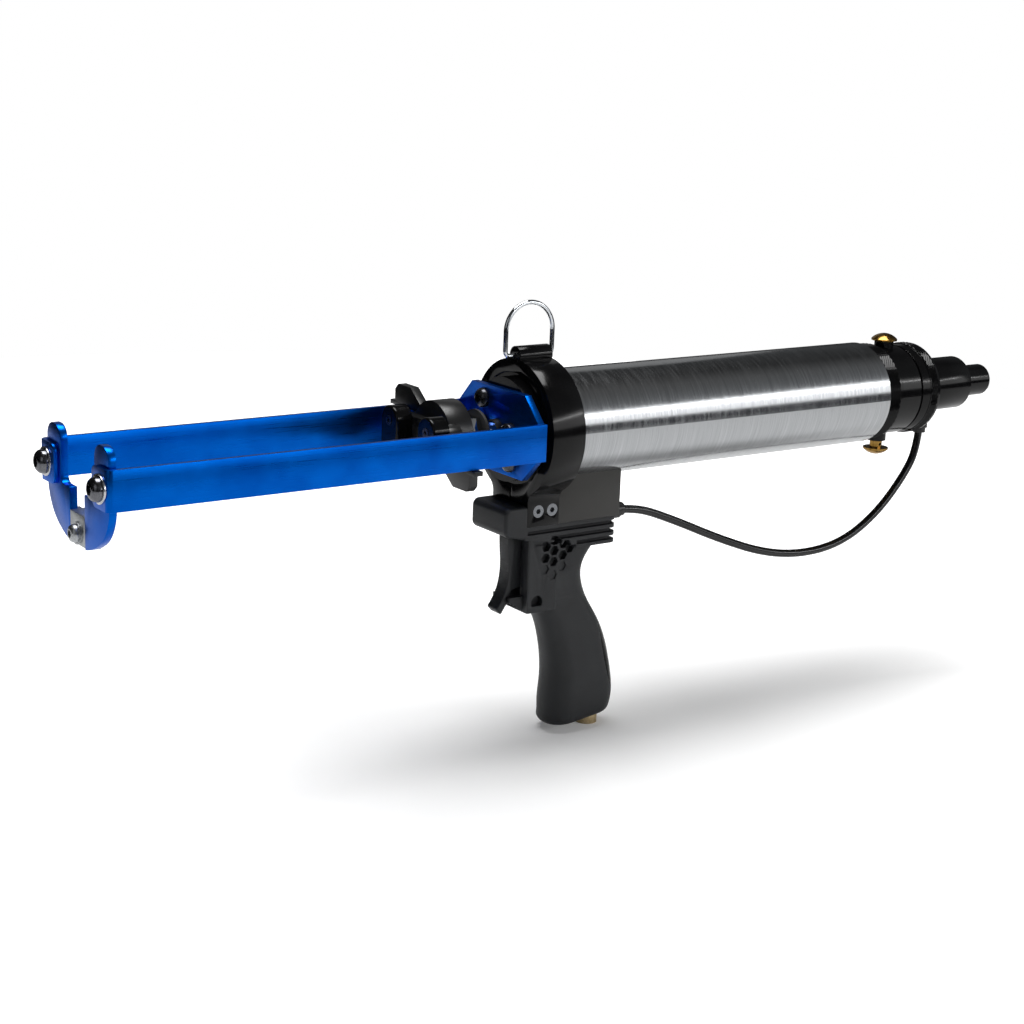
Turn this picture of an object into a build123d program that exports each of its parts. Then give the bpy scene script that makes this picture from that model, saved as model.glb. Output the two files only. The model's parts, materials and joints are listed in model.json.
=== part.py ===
"""Pneumatic twin-cartridge caulking gun, in millimetres.

X runs forwards along the drive axis, Y to the gun's left and Z up.  The origin is on the drive axis, at the
front face of the thrust plate that the cartridges' rear ends face.
"""
from build123d import *
import math
import os

os.makedirs("parts", exist_ok=True)

# ------------------------------------------------ fits
RUN_GAP = 0.05       # radial clearance of a shaft, pin or piston that moves in its bore
SEAT_GAP = 0.05      # gap round a piece that is fixed in its seat
PASS_GAP = 0.5       # gap between moving pieces that pass each other
HEX = 6                    # corners of a hexagon
QUARTER_TURN = 90.0
DOMED = 0.9                # share of a button head's height that is rounded
CAP_HEAD_ROUND = 0.3       # the same for a cap head
FLANGE_HEAD_ROUND = 0.6    # the same for a flanged head
SPRING_TURNS = 5.0
BEND_SHARE = 0.45          # share of a hose run that its bend takes up
OVERCUT = 1.5              # cutting shapes reach this many times past what they cut
SAME_PLACE = 0.01          # corners nearer than this to a line are on it
SOCKET_SHARE = 0.45  # hex sockets of the screws, as a share of the head

# ------------------------------------------------ cartridge carriage
BAY_LENGTH = 293.0         # thrust plate to front plate
RAIL_GAP = 94.4            # between the rails' inner faces
RAIL_T = 3.0
RAIL_HEIGHT = 25.0
RAIL_REAR = -5.4           # the rails' rear ends
RAIL_BEND_R = 4.0          # outside radius of the bend into the front tabs
TAB_INNER_Y = 28.0         # where the front tabs end, from the centre plane
TAB_CORNER_R = 5.0
THRUST_T = 5.0
THRUST_TOP_HALF = 31.4     # half length of the thrust plate's top edge
THRUST_TOP_Z = 28.7
FRONT_T = 5.0
FRONT_HALF = 45.5          # half width of the front plate
FRONT_SIDE_BOTTOM = -15.0  # where the sides turn into the round bottom
SHOULDER = (40.8, -26.6)   # a point halfway round each lower corner
BELLY = (30.0, -36.5)      # where the lower corners meet the bottom curve
FRONT_BOTTOM = -44.8
LOBE_TOP = 24.2
LOBE_CORNER_R = 9.0
SLOT_HALF = 25.0           # wide slot that takes the cartridges' shoulders
SLOT_FLOOR = -10.5
SLOT_CORNER_R = 5.0
THROAT_HALF = 10.8         # narrow slot that takes the nozzle outlet
THROAT_Y = -1.2
FRONT_SCREW_Y = 40.0
FRONT_SCREW_R = 4.0
FRONT_HEAD_R = 7.6
FRONT_HEAD_H = 5.6
WASHER_R = 9.0
WASHER_T = 1.4
LOCATOR_TOP = -24.0        # nozzle locator in the narrow slot
LOCATOR_BOTTOM = -43.0
LOCATOR_T = 3.0
LOCATOR_FLANGE = 12.0      # how far its top shelf runs back behind the plate
LOCATOR_WING = 5.0         # overlap of its rear leaf behind the plate, each side
LOCATOR_NUT_FLATS = 8.0
LOCATOR_NUT_T = 3.5
LOCATOR_SCREW_Z = -36.0
LOCATOR_SCREW_R = 2.5
LOCATOR_HEAD_R = 5.6
LOCATOR_HEAD_H = 5.2
LOCATOR_RIM_R = 6.9        # flange under the locator screw's head
LOCATOR_RIM_T = 1.2

# ------------------------------------------------ air cylinder
TUBE_R = 38.0
TUBE_WALL = 2.0
TUBE_REAR = -333.0
RING_FRONT = -13.1
RING_LENGTH = 26.3
RING_R = 47.5
CAP_FLANGE_T = 3.0           # flange of the front cap that covers the tube's end
HUB_R = 35.5               # nose of the front cap that the thrust plate is screwed to
SPIGOT_REAR = -36.0        # rear face of the front cap, inside the tube
ORING_R = 1.3              # section radius of the cap and piston rings
ORING_SQUEEZE = 0.1        # how far the groove floor stands off the ring
ROD_R = 6.35
BUSH_R = 9.5
GLAND_R = 7.6
GLAND_H = 4.0
GLAND_CHAMFER = 0.8
PISTON_REAR = -309.0
PISTON_LENGTH = 26.0
PISTON_RING_INSET = 6.0

PISTON_STUD_R = 5.0
PISTON_NUT_FLATS = 17.0
PISTON_NUT_T = 8.0
SEAL_FRONT = -9.0
SEAL_REAR = -16.0
ROD_FRONT_SETBACK = 7.0    # the rod ends this far behind the pads' rear faces
ROD_THREAD_L = 16.0
ROD_SCREW_R = 3.0
ROD_HEAD_R = 5.0
ROD_HEAD_H = 4.0

# ------------------------------------------------ thrust plate screws
CORNER_SCREWS = ((-17.0, 19.0), (17.0, -19.0))
SIDE_SCREWS = ((-17.0, 1.0), (17.0, 1.0))
CORNER_HEAD_R = 6.8
CORNER_HEAD_H = 5.0
PLATE_SCREW_R = 3.0
PLATE_SCREW_GRIP = 20.0

# ------------------------------------------------ drive
CARRIER_REAR = 34.0
CARRIER_FRONT = 52.0
CARRIER_R = 24.0
PAD_Y = 22.6
PAD_HALF_W = 10.1
PAD_HALF_H = 18.5
PAD_REAR = 59.0
PAD_FRONT = 71.0
PAD_SCREW_Z = 8.5
PAD_SCREW_R = 2.0
PAD_HEAD_R = 3.3
PAD_HEAD_H = 3.0
PAD_HEAD_PROUD = 0.4       # how far the pad screws' heads stand out
PAD_SCREW_BITE = 8.0
PAD_EDGE_R = 1.5
ARM_REAR = 48.0
ARM_HALF_H = 12.0
ARM_CORNER_R = 8.0
WING_REAR = 45.6
WING_FRONT = 52.0
WING_TOP = 28.0
WING_BEVEL = 3.7
WING_SIDE_GAP = 0.7        # between a wing's lug and the rail beneath it
WING_INNER_Y = -27.0
NOTCH_Y = -12.5
NOTCH_Z = 17.0
LUG_REACH = 5.8            # how far each wing's lug hooks out over its rail
LUG_H = 3.0
NUT_FLATS = 22.0
NUT_REAR = 18.0
BUMPER_R = 15.5
BUMPER_T = 2.0

# ------------------------------------------------ clamp ring block and hang ring
BLOCK_HALF = 20.8
BLOCK_BOTTOM = -65.0
NECK_FILLET_R = 9.0
SPLIT_W = 1.6
PINCH_X = (-22.3, -33.8)
PINCH_Z = -54.5
PINCH_R = 2.5
PINCH_HEAD_R = 4.3
PINCH_HEAD_H = 5.0
PINCH_BITE = 17.0          # how far the pinch screws run past the split
BOSS_Z = 49.5
BOSS_R = 6.5
WIRE_R = 1.6
HANG_X = -23.9             # middle of the hang ring
HANG_HALF_W = 19.0
HANG_TOP = 85.0            # centre line of the wire at the top
HANG_CORNER_R = 3.0

# ------------------------------------------------ valve block
VALVE_REAR = -92.0
SADDLE_Z = -31.0
TONGUE_HALF = 13.0
TONGUE_BOTTOM = -76.0
TONGUE_SETBACK = 4.0       # the tongue starts this far behind the block's front face
PORT_Z = -67.0

# ------------------------------------------------ handle
NOSE_FRONT = 4.5
NOSE_TOP = -50.5
NOSE_BOTTOM = -70.0
NOSE_ROOT_Z = -74.0
NOSE_EDGE_R = 5.0
DECK_REAR = -91.0
DECK_BOTTOM = -84.0
DECK_CORNER_R = 6.0
# grip sections: height, front, rear, half width, corner radius
GRIP = (
    (-80.0, -21.0, -76.5, 17.5, 8.0),
    (-90.0, -21.0, -73.5, 16.6, 9.0),
    (-102.0, -21.5, -69.5, 15.6, 10.0),
    (-113.0, -23.5, -72.0, 14.8, 12.0),
    (-126.0, -32.0, -78.0, 14.6, 13.2),
    (-143.0, -41.0, -88.8, 15.2, 14.0),
    (-162.0, -46.0, -97.0, 16.2, 15.2),
    (-184.0, -48.0, -102.2, 17.2, 16.2),
    (-203.0, -46.8, -103.2, 17.4, 16.4),
    (-219.5, -44.0, -100.5, 16.6, 15.0),
)
HEEL_FRONT = (-38.0, -219.5)        # the grip's foot is cut by a plane through these two points
HEEL_REAR = (-106.0, -210.5)
HEEL_EDGE_R = 5.0
HOUSING_FRONT = -19.5               # flat-fronted box round the trigger's slot
HOUSING_REAR = -44.0
HOUSING_HALF = 15.9
HOUSING_BOTTOM = -128.0
HOUSING_TOP = -72.0
HOUSING_EDGE_R = 1.0
FIN_Z = (-69.3, -74.8, -80.3)       # middle of each groove in the deck's sides
FIN_FRONT = (-14.0, -34.0, -56.0)   # where each groove starts
FIN_GROOVE = 3.0
FIN_DEPTH = 4.0
LIP_FRONT = -8.6
LIP_HALF = 10.0
LIP_TOP = -117.0
LIP_BOTTOM = -131.0
TRIGGER_SLOT_HALF = 6.6
TRIGGER_SLOT_REAR = -34.0
TRIGGER_SLOT_FLOOR = -127.0
PANEL_TOP = (-84.5, -136.0)         # the grip's rear insert is cut along an arc through these points
PANEL_BOTTOM = (-102.0, -204.0)
PANEL_MIDDLE = (-89.0, -171.0)
PANEL_GAP = 0.1
LIP_EDGE = 3.5
LIP_FLOOR_L = 10.0
LIP_REAR = -42.0
TRIGGER_HOOD = -5.8                 # front wall of the trigger's pocket in the nose
HOOD_BOTTOM = -76.5
OUTLET_X = -54.0                    # air passage from the trigger's valve up to the valve block
HANDLE_SCREW_X = -84.5
HANDLE_SCREW_Y = 8.0
HANDLE_SCREW_R = 2.0
HANDLE_SCREW_BITE = 9.0
HANDLE_HEAD_R = 3.6
HANDLE_HEAD_H = 4.0
HANDLE_HEAD_Z = -80.0
HANDLE_ACCESS_Z = -104.0

# ------------------------------------------------ trigger and its valve
TRIGGER_HALF = 6.0
PIVOT = (-17.0, -70.6)
PIVOT_R = 2.0
PIVOT_HALF = 12.0
PIVOT_BOSS_R = 4.8
TRIGGER_FRONT_EDGE = (
    (-9.0, -74.5), (-9.4, -84.0), (-10.2, -98.0), (-8.3, -111.0), (-4.6, -119.5), (-0.8, -125.0),
)
TRIGGER_REAR_EDGE = (
    (-4.8, -129.2), (-10.4, -120.8), (-13.0, -112.6), (-26.8, -110.5), (-26.8, -77.0), (-21.5, -69.0),
    (-13.0, -69.0),
)
VALVE_Z = -95.0
VALVE_R = 7.0
VALVE_BODY_REAR = -62.0
STEM_R = 2.5
STEM_TIP = -27.2
STEM_REAR = -48.2
COLLAR_R = 4.0
COLLAR_T = 3.0
CHAMBER_R = 4.6
CHAMBER_FRONT = -45.0
CHAMBER_REAR = -59.0
SPRING_WIRE_R = 0.45
SPRING_R = 3.4

# ------------------------------------------------ air inlet
INLET_X = -87.0
INLET_RIM_R = 7.9
INLET_BOTTOM = -222.5
INLET_R = 7.6
INLET_DEPTH = 14.0
INLET_SINK = 2.0            # how far the inlet's rim sits inside the grip's foot
INLET_BORE_R = 5.7
INLET_BORE_L = 12.0
PASSAGE_R = 3.0

# ------------------------------------------------ rear cap
BLOCK_SPIGOT_L = 13.0      # spool block's spigot in the tube
NECK_R = 31.0
LOCK_R = 36.2
LOCK_REAR = -347.5
GROOVE_R = 32.6
CAP_R = 34.0
SPOOL_BLOCK_FRONT = -350.0
SPOOL_BLOCK_REAR = -370.0
CAP_FRONT = -372.0
KNURL_FRONT = -380.0
CAP_REAR = -390.0
KNURL_R = 34.6
PORTS_Z = (-20.0, 20.0)
CAP_SPIGOT_R = 26.0
CAP_SPIGOT_L = 5.0
SPOOL_X = -360.0
SPOOL_BOSS_R = 7.3
SPOOL_BOSS_TOP = 38.6
SPOOL_BOSS_BOTTOM = -39.6
SPOOL_R = 4.75
SPOOL_HEAD_R = 9.8
SPOOL_HEAD_H = 5.4
SPOOL_RIM_H = 1.2
SPOOL_TRAVEL = 5.8
SPOOL_RING_R = 0.6
SPOOL_RING_Z = (-31.0, -12.0, 12.0, 27.0)
SPOOL_TANG_R = 3.0
VENT_R = 1.2

# ------------------------------------------------ regulator
REG_R = 20.5
REG_REAR = -441.0
REG_BORE_R = 12.0
REG_BORE_FRONT = -398.0
REG_BORE_REAR = -430.0
REG_EDGE = 1.2
REG_SPIGOT_R = 14.0
REG_SPIGOT_FRONT = -382.0
KNOB_R = 12.2
KNOB_SOCKET = 25.0         # depth of the adjusting screw in the knob
KNOB_REAR = -472.0
KNOB_EDGE_R = 2.5
ADJUST_R = 3.0
ADJUST_FRONT = -409.0
FOLLOWER_X = -424.0
FOLLOWER_T = 5.0
DISC_T = 3.0
REG_SPRING_WIRE_R = 0.9
REG_SPRING_R = 8.0

# ------------------------------------------------ hose and its fittings
HOSE_WALL = 1.0
HOSE_R = 3.0
FITTING_R = 6.2
STUD_R = 4.8
STUD_L = 7.0
FITTING_L = 14.0
RELEASE_R = 5.0
RELEASE_L = 4.0
HOSE_SEAT = 6.0            # how far the hose runs into each fitting's body
REAR_FITTING_X = -407.0
SPOT_Z = -19.6             # flat spot-face under the regulator body
HOSE_RUNS = (
    (-100.0, -67.0), (-122.0, -67.0), (-158.0, -80.5), (-206.0, -101.5), (-252.0, -118.0),
    (-294.0, -123.5),
    (-333.0, -118.5), (-366.0, -100.5), (-391.0, -76.0), (-407.0, -52.0), (-407.0, -27.6),
)


# ------------------------------------------------ shared shapes
def disc(x_start, x_end, radius, mode=Mode.ADD):
    """Add or cut a cylinder on the drive axis between two stations."""
    with BuildSketch(Plane.YZ.offset(x_start)) as profile:
        Circle(radius)
    extrude(profile.sketch, amount=x_end - x_start, mode=mode)


def ring(x_start, x_end, outer_r, inner_r):
    """Add a ring on the drive axis between two stations."""
    with BuildSketch(Plane.YZ.offset(x_start)) as profile:
        Circle(outer_r)
        Circle(inner_r, mode=Mode.SUBTRACT)
    extrude(profile.sketch, amount=x_end - x_start)


def torus_on_axis(x_middle, radius, section_r):
    """Add a round-section ring about the drive axis."""
    with BuildSketch(Plane.XY) as profile:
        with Locations((x_middle, radius)):
            Circle(section_r)
    revolve(profile.sketch, axis=Axis.X)


def ring_groove(x_middle, outer_r, section_r):
    """Cut the groove of a round-section ring in a piece that is turned about the drive axis."""
    half = section_r + ORING_SQUEEZE
    with BuildSketch(Plane.YZ.offset(x_middle - half)) as profile:
        Circle(outer_r + section_r)
        Circle(outer_r - 2.0 * section_r - ORING_SQUEEZE, mode=Mode.SUBTRACT)
    extrude(profile.sketch, amount=2.0 * half, mode=Mode.SUBTRACT)


def bores(plane, places, radius, depth):
    """Cut like round holes into a plane, each as deep as stated along the plane's normal."""
    with BuildSketch(plane) as profile:
        with Locations(*places):
            Circle(radius)
    extrude(profile.sketch, amount=depth, mode=Mode.SUBTRACT)


def screws(plane, places, head_r, head_h, shank_r, shank_l, dome=0.0):
    """Add like screws: heads stand on the plane with their rims rounded by a share of their height."""
    with BuildSketch(plane) as heads:
        with Locations(*places):
            Circle(head_r)
    extrude(heads.sketch, amount=head_h)
    if dome > 0.0:
        rims = edges(Select.LAST).filter_by(GeomType.CIRCLE).sort_by(Axis(plane.origin, plane.z_dir))
        fillet(rims[-len(places):], dome * head_h)
    with BuildSketch(plane) as shanks:
        with Locations(*places):
            Circle(shank_r)
    extrude(shanks.sketch, amount=-shank_l)
    with BuildSketch(plane.offset(head_h)) as sockets:
        with Locations(*places):
            RegularPolygon(SOCKET_SHARE * head_r, HEX)
    extrude(sockets.sketch, amount=-SOCKET_SHARE * head_h, mode=Mode.SUBTRACT)


def coil(plane, radius, wire_r, length, turns):
    """Add a compression spring that starts on the plane."""
    coil_length = length - 2.0 * wire_r
    start = plane.offset(wire_r).origin
    with BuildLine() as path:
        Helix(
            pitch=coil_length / turns, height=coil_length, radius=radius,
            center=start, direction=plane.z_dir,
        )
    with BuildSketch(Plane(path.line @ 0, z_dir=path.line % 0)) as section:
        Circle(wire_r)
    sweep(section.sketch, path=path.line, is_frenet=True)


def left_facing(y):
    """A plane that faces the gun's left at a given Y; its points are (X, -Z)."""
    return Plane(origin=(0, y, 0), x_dir=(1, 0, 0), z_dir=(0, 1, 0))


def down_facing(z):
    """A plane that faces down at a given Z; its points are (X, -Y)."""
    return Plane(origin=(0, 0, z), x_dir=(1, 0, 0), z_dir=(0, 0, -1))


# ------------------------------------------------ sizes that follow from those above
plate_screw_places = CORNER_SCREWS + SIDE_SCREWS
tube_bore_r = TUBE_R - TUBE_WALL
ring_rear = RING_FRONT - RING_LENGTH
tube_front = RING_FRONT - CAP_FLANGE_T
rail_outer = RAIL_GAP / 2.0 + RAIL_T
front_face = BAY_LENGTH + FRONT_T
tab_face = front_face + RAIL_T
front_screw_places = [(FRONT_SCREW_Y, 0), (-FRONT_SCREW_Y, 0)]
front_seal_x = (RING_FRONT + SPIGOT_REAR) / 2.0
piston_front = PISTON_REAR + PISTON_LENGTH
piston_seal_x = (PISTON_REAR + PISTON_RING_INSET, piston_front - PISTON_RING_INSET)
rod_front = PAD_REAR - ROD_FRONT_SETBACK
pad_screw_places = [(y, z) for y in (PAD_Y, -PAD_Y) for z in (PAD_SCREW_Z, -PAD_SCREW_Z)]
pad_head_x = PAD_FRONT + PAD_HEAD_PROUD - PAD_HEAD_H
wing_side = RAIL_GAP / 2.0 - WING_SIDE_GAP
wing_foot = RAIL_HEIGHT / 2.0 + WING_SIDE_GAP
pinch_places = [(x, -PINCH_Z) for x in PINCH_X]
pinch_seat = BLOCK_HALF - PINCH_HEAD_H
grip_bottom = GRIP[-1][0]
inlet_seat = HEEL_REAR[1] + INLET_SINK
handle_screw_places = [(HANDLE_SCREW_X, HANDLE_SCREW_Y), (HANDLE_SCREW_X, -HANDLE_SCREW_Y)]
rear_seal_x = TUBE_REAR + BLOCK_SPIGOT_L / 2.0
spool_seat = SPOOL_BOSS_TOP + RUN_GAP
spool_top = spool_seat + SPOOL_HEAD_H
spool_foot = SPOOL_BOSS_BOTTOM - RUN_GAP - SPOOL_TRAVEL
spool_tang_bottom = spool_foot - SPOOL_HEAD_H / 2.0
button_bottom = spool_foot - SPOOL_HEAD_H
spool_vent_z = SPOOL_BOSS_BOTTOM - SPOOL_TRAVEL / 2.0
spool_groove = 2.0 * SPOOL_RING_R + SEAT_GAP
head_rise = SPOOL_HEAD_H - SPOOL_RIM_H
head_dome_r = (SPOOL_HEAD_R**2 + head_rise**2) / (2.0 * head_rise)
knob_front = REG_REAR - RUN_GAP

# ------------------------------------------------ thrust plate
with BuildPart() as thrust_plate:
    with BuildSketch(Plane.YZ.offset(-THRUST_T)):
        half_rail = RAIL_HEIGHT / 2.0
        with BuildLine():
            Polyline(
                (-THRUST_TOP_HALF, THRUST_TOP_Z), (THRUST_TOP_HALF, THRUST_TOP_Z),
                (RAIL_GAP / 2.0, half_rail),
                (RAIL_GAP / 2.0, -half_rail), (THRUST_TOP_HALF, -THRUST_TOP_Z),
                (-THRUST_TOP_HALF, -THRUST_TOP_Z), (-RAIL_GAP / 2.0, -half_rail),
                (-RAIL_GAP / 2.0, half_rail), close=True,
            )
        make_face()
        Circle(ROD_R + PASS_GAP, mode=Mode.SUBTRACT)
    extrude(amount=THRUST_T)
    bores(Plane.YZ.offset(-THRUST_T), plate_screw_places, PLATE_SCREW_R + SEAT_GAP, THRUST_T)
thrust_plate.part.label = "thrust_plate"
export_step(thrust_plate.part, "parts/thrust_plate.step")

with BuildPart() as thrust_plate_corner_screws:
    screws(
        Plane.YZ, CORNER_SCREWS, CORNER_HEAD_R, CORNER_HEAD_H, PLATE_SCREW_R, PLATE_SCREW_GRIP, dome=DOMED,
    )
thrust_plate_corner_screws.part.label = "thrust_plate_corner_screws"
export_step(thrust_plate_corner_screws.part, "parts/thrust_plate_corner_screws.step")

with BuildPart() as thrust_plate_side_screws:
    screws(
        Plane.YZ, SIDE_SCREWS, CORNER_HEAD_R, CORNER_HEAD_H, PLATE_SCREW_R, PLATE_SCREW_GRIP,
        dome=CAP_HEAD_ROUND,
    )
thrust_plate_side_screws.part.label = "thrust_plate_side_screws"
export_step(thrust_plate_side_screws.part, "parts/thrust_plate_side_screws.step")

# ------------------------------------------------ side rails
for side, rail_name in ((1.0, "left_rail"), (-1.0, "right_rail")):
    with BuildPart() as rail:
        with BuildSketch(Plane.XY.offset(-RAIL_HEIGHT / 2.0)):
            with BuildLine():
                Polyline(
                    (RAIL_REAR, side * rail_outer), (front_face + RAIL_T, side * rail_outer),
                    (front_face + RAIL_T, side * TAB_INNER_Y), (front_face, side * TAB_INNER_Y),
                    (front_face, side * RAIL_GAP / 2.0), (RAIL_REAR, side * RAIL_GAP / 2.0), close=True,
                )
            make_face()
            outside_corner = vertices().sort_by_distance((front_face + RAIL_T, side * rail_outer, 0))[0]
            fillet(outside_corner, RAIL_BEND_R)
        extrude(amount=RAIL_HEIGHT)
        tab_ends = edges().filter_by(Axis.X).sort_by(lambda edge: abs(edge.center().Y))[:2]
        fillet(tab_ends, TAB_CORNER_R)
        bores(Plane.YZ.offset(front_face), [(side * FRONT_SCREW_Y, 0)], FRONT_SCREW_R + SEAT_GAP, RAIL_T)
    rail.part.label = rail_name
    export_step(rail.part, f"parts/{rail_name}.step")

# ------------------------------------------------ front plate and its screws
with BuildPart() as front_plate:
    with BuildSketch(Plane.YZ.offset(BAY_LENGTH)):
        with BuildLine():
            Polyline(
                (FRONT_HALF, FRONT_SIDE_BOTTOM), (FRONT_HALF, LOBE_TOP), (-FRONT_HALF, LOBE_TOP),
                (-FRONT_HALF, FRONT_SIDE_BOTTOM),
            )
            ThreePointArc(
                (-FRONT_HALF, FRONT_SIDE_BOTTOM), (-SHOULDER[0], SHOULDER[1]), (-BELLY[0], BELLY[1]),
            )
            ThreePointArc((-BELLY[0], BELLY[1]), (0, FRONT_BOTTOM), BELLY)
            ThreePointArc(BELLY, SHOULDER, (FRONT_HALF, FRONT_SIDE_BOTTOM))
        make_face()
        slot_height = LOBE_TOP - SLOT_FLOOR
        with Locations((0, SLOT_FLOOR + slot_height / 2.0)):
            Rectangle(2.0 * SLOT_HALF, slot_height, mode=Mode.SUBTRACT)
        throat_height = SLOT_FLOOR - FRONT_BOTTOM
        with Locations((THROAT_Y, SLOT_FLOOR - throat_height / 2.0)):
            Rectangle(2.0 * THROAT_HALF, throat_height, mode=Mode.SUBTRACT)
        fillet(vertices().group_by(Axis.Y)[-1], LOBE_CORNER_R)
        slot_corners = vertices().filter_by(
            lambda corner: (
                abs(abs(corner.X) - SLOT_HALF) < SAME_PLACE and abs(corner.Y - SLOT_FLOOR) < SAME_PLACE
            )
        )
        fillet(slot_corners, SLOT_CORNER_R)
    extrude(amount=FRONT_T)
    bores(Plane.YZ.offset(BAY_LENGTH), front_screw_places, FRONT_SCREW_R + SEAT_GAP, FRONT_T)
front_plate.part.label = "front_plate"
export_step(front_plate.part, "parts/front_plate.step")

with BuildPart() as front_screw_washers:
    with BuildSketch(Plane.YZ.offset(tab_face)):
        with Locations(*front_screw_places):
            Circle(WASHER_R)
            Circle(FRONT_SCREW_R + SEAT_GAP, mode=Mode.SUBTRACT)
    extrude(amount=WASHER_T)
front_screw_washers.part.label = "front_screw_washers"
export_step(front_screw_washers.part, "parts/front_screw_washers.step")

with BuildPart() as front_screws:
    screws(
        Plane.YZ.offset(tab_face + WASHER_T), front_screw_places, FRONT_HEAD_R, FRONT_HEAD_H,
        FRONT_SCREW_R,
        WASHER_T + RAIL_T + FRONT_T, dome=DOMED,
    )
front_screws.part.label = "front_screws"
export_step(front_screws.part, "parts/front_screws.step")

# ------------------------------------------------ nozzle locator in the front plate's throat
with BuildPart() as nozzle_locator:
    locator_half = THROAT_HALF - SEAT_GAP
    with BuildSketch(Plane.YZ.offset(BAY_LENGTH)):
        with Locations((THROAT_Y, (LOCATOR_TOP + LOCATOR_BOTTOM) / 2.0)):
            Rectangle(2.0 * locator_half, LOCATOR_TOP - LOCATOR_BOTTOM)
    extrude(amount=FRONT_T - SEAT_GAP)
    with BuildSketch(Plane.YZ.offset(BAY_LENGTH - LOCATOR_T)):
        with Locations((THROAT_Y, (LOCATOR_TOP + LOCATOR_BOTTOM) / 2.0)):
            Rectangle(2.0 * (locator_half + LOCATOR_WING), LOCATOR_TOP - LOCATOR_BOTTOM)
    extrude(amount=LOCATOR_T)
    with BuildSketch(Plane.YZ.offset(BAY_LENGTH - LOCATOR_T - LOCATOR_FLANGE)):
        with Locations((THROAT_Y, LOCATOR_TOP - LOCATOR_T / 2.0)):
            Rectangle(2.0 * locator_half, LOCATOR_T)
    extrude(amount=LOCATOR_FLANGE)
    bores(
        Plane.YZ.offset(BAY_LENGTH - LOCATOR_T), [(THROAT_Y, LOCATOR_SCREW_Z)], LOCATOR_SCREW_R + SEAT_GAP,
        LOCATOR_T + FRONT_T,
    )
nozzle_locator.part.label = "nozzle_locator"
export_step(nozzle_locator.part, "parts/nozzle_locator.step")

with BuildPart() as locator_screw:
    screws(
        Plane.YZ.offset(front_face - SEAT_GAP), [(THROAT_Y, LOCATOR_SCREW_Z)], LOCATOR_HEAD_R,
        LOCATOR_HEAD_H,
        LOCATOR_SCREW_R, FRONT_T + LOCATOR_T + LOCATOR_NUT_T, dome=FLANGE_HEAD_ROUND,
    )
    with BuildSketch(Plane.YZ.offset(front_face - SEAT_GAP)):
        with Locations((THROAT_Y, LOCATOR_SCREW_Z)):
            Circle(LOCATOR_RIM_R)
    extrude(amount=LOCATOR_RIM_T)
locator_screw.part.label = "locator_screw"
export_step(locator_screw.part, "parts/locator_screw.step")

with BuildPart() as locator_nut:
    with BuildSketch(Plane.YZ.offset(BAY_LENGTH - LOCATOR_T - LOCATOR_NUT_T)):
        with Locations((THROAT_Y, LOCATOR_SCREW_Z)):
            RegularPolygon(LOCATOR_NUT_FLATS / 2.0, HEX, major_radius=False)
            Circle(LOCATOR_SCREW_R + SEAT_GAP, mode=Mode.SUBTRACT)
    extrude(amount=LOCATOR_NUT_T)
locator_nut.part.label = "locator_nut"
export_step(locator_nut.part, "parts/locator_nut.step")

# ------------------------------------------------ front cap, bush, seal and gland
with BuildPart() as front_cap:
    disc(-THRUST_T, RING_FRONT, HUB_R)
    disc(RING_FRONT, tube_front + SEAT_GAP, TUBE_R)
    disc(tube_front + SEAT_GAP, SPIGOT_REAR, tube_bore_r - SEAT_GAP)
    ring_groove(front_seal_x, tube_bore_r - SEAT_GAP, ORING_R)
    disc(SPIGOT_REAR, SEAL_FRONT, BUSH_R + SEAT_GAP, mode=Mode.SUBTRACT)
    disc(SEAL_FRONT, -THRUST_T, ROD_R + PASS_GAP, mode=Mode.SUBTRACT)
    bores(
        Plane.YZ.offset(-PLATE_SCREW_GRIP), plate_screw_places, PLATE_SCREW_R + SEAT_GAP,
        PLATE_SCREW_GRIP - THRUST_T,
    )
front_cap.part.label = "front_cap"
export_step(front_cap.part, "parts/front_cap.step")

with BuildPart() as front_cap_seal:
    torus_on_axis(front_seal_x, tube_bore_r - SEAT_GAP - ORING_R, ORING_R)
front_cap_seal.part.label = "front_cap_seal"
export_step(front_cap_seal.part, "parts/front_cap_seal.step")

with BuildPart() as rod_bush:
    ring(SPIGOT_REAR, SEAL_REAR, BUSH_R, ROD_R + RUN_GAP)
rod_bush.part.label = "rod_bush"
export_step(rod_bush.part, "parts/rod_bush.step")

with BuildPart() as rod_seal:
    ring(SEAL_REAR, SEAL_FRONT, BUSH_R, ROD_R + RUN_GAP)
rod_seal.part.label = "rod_seal"
export_step(rod_seal.part, "parts/rod_seal.step")

with BuildPart() as rod_gland:
    ring(0.0, GLAND_H, GLAND_R, ROD_R + RUN_GAP)
    gland_rims = edges().filter_by(GeomType.CIRCLE).group_by(Axis.X)[-1]
    chamfer(gland_rims.sort_by(SortBy.RADIUS)[-1], GLAND_CHAMFER)
rod_gland.part.label = "rod_gland"
export_step(rod_gland.part, "parts/rod_gland.step")

# ------------------------------------------------ barrel tube
with BuildPart() as barrel_tube:
    ring(TUBE_REAR, tube_front, TUBE_R, tube_bore_r)
barrel_tube.part.label = "barrel_tube"
export_step(barrel_tube.part, "parts/barrel_tube.step")

# ------------------------------------------------ piston and rod
with BuildPart() as piston:
    ring(PISTON_REAR, piston_front, tube_bore_r - RUN_GAP, PISTON_STUD_R + SEAT_GAP)
    for seal_x in piston_seal_x:
        ring_groove(seal_x, tube_bore_r - RUN_GAP, ORING_R)
piston.part.label = "piston"
export_step(piston.part, "parts/piston.step")

with BuildPart() as piston_seals:
    for seal_x in piston_seal_x:
        torus_on_axis(seal_x, tube_bore_r - RUN_GAP - ORING_R, ORING_R)
piston_seals.part.label = "piston_seals"
export_step(piston_seals.part, "parts/piston_seals.step")

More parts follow.
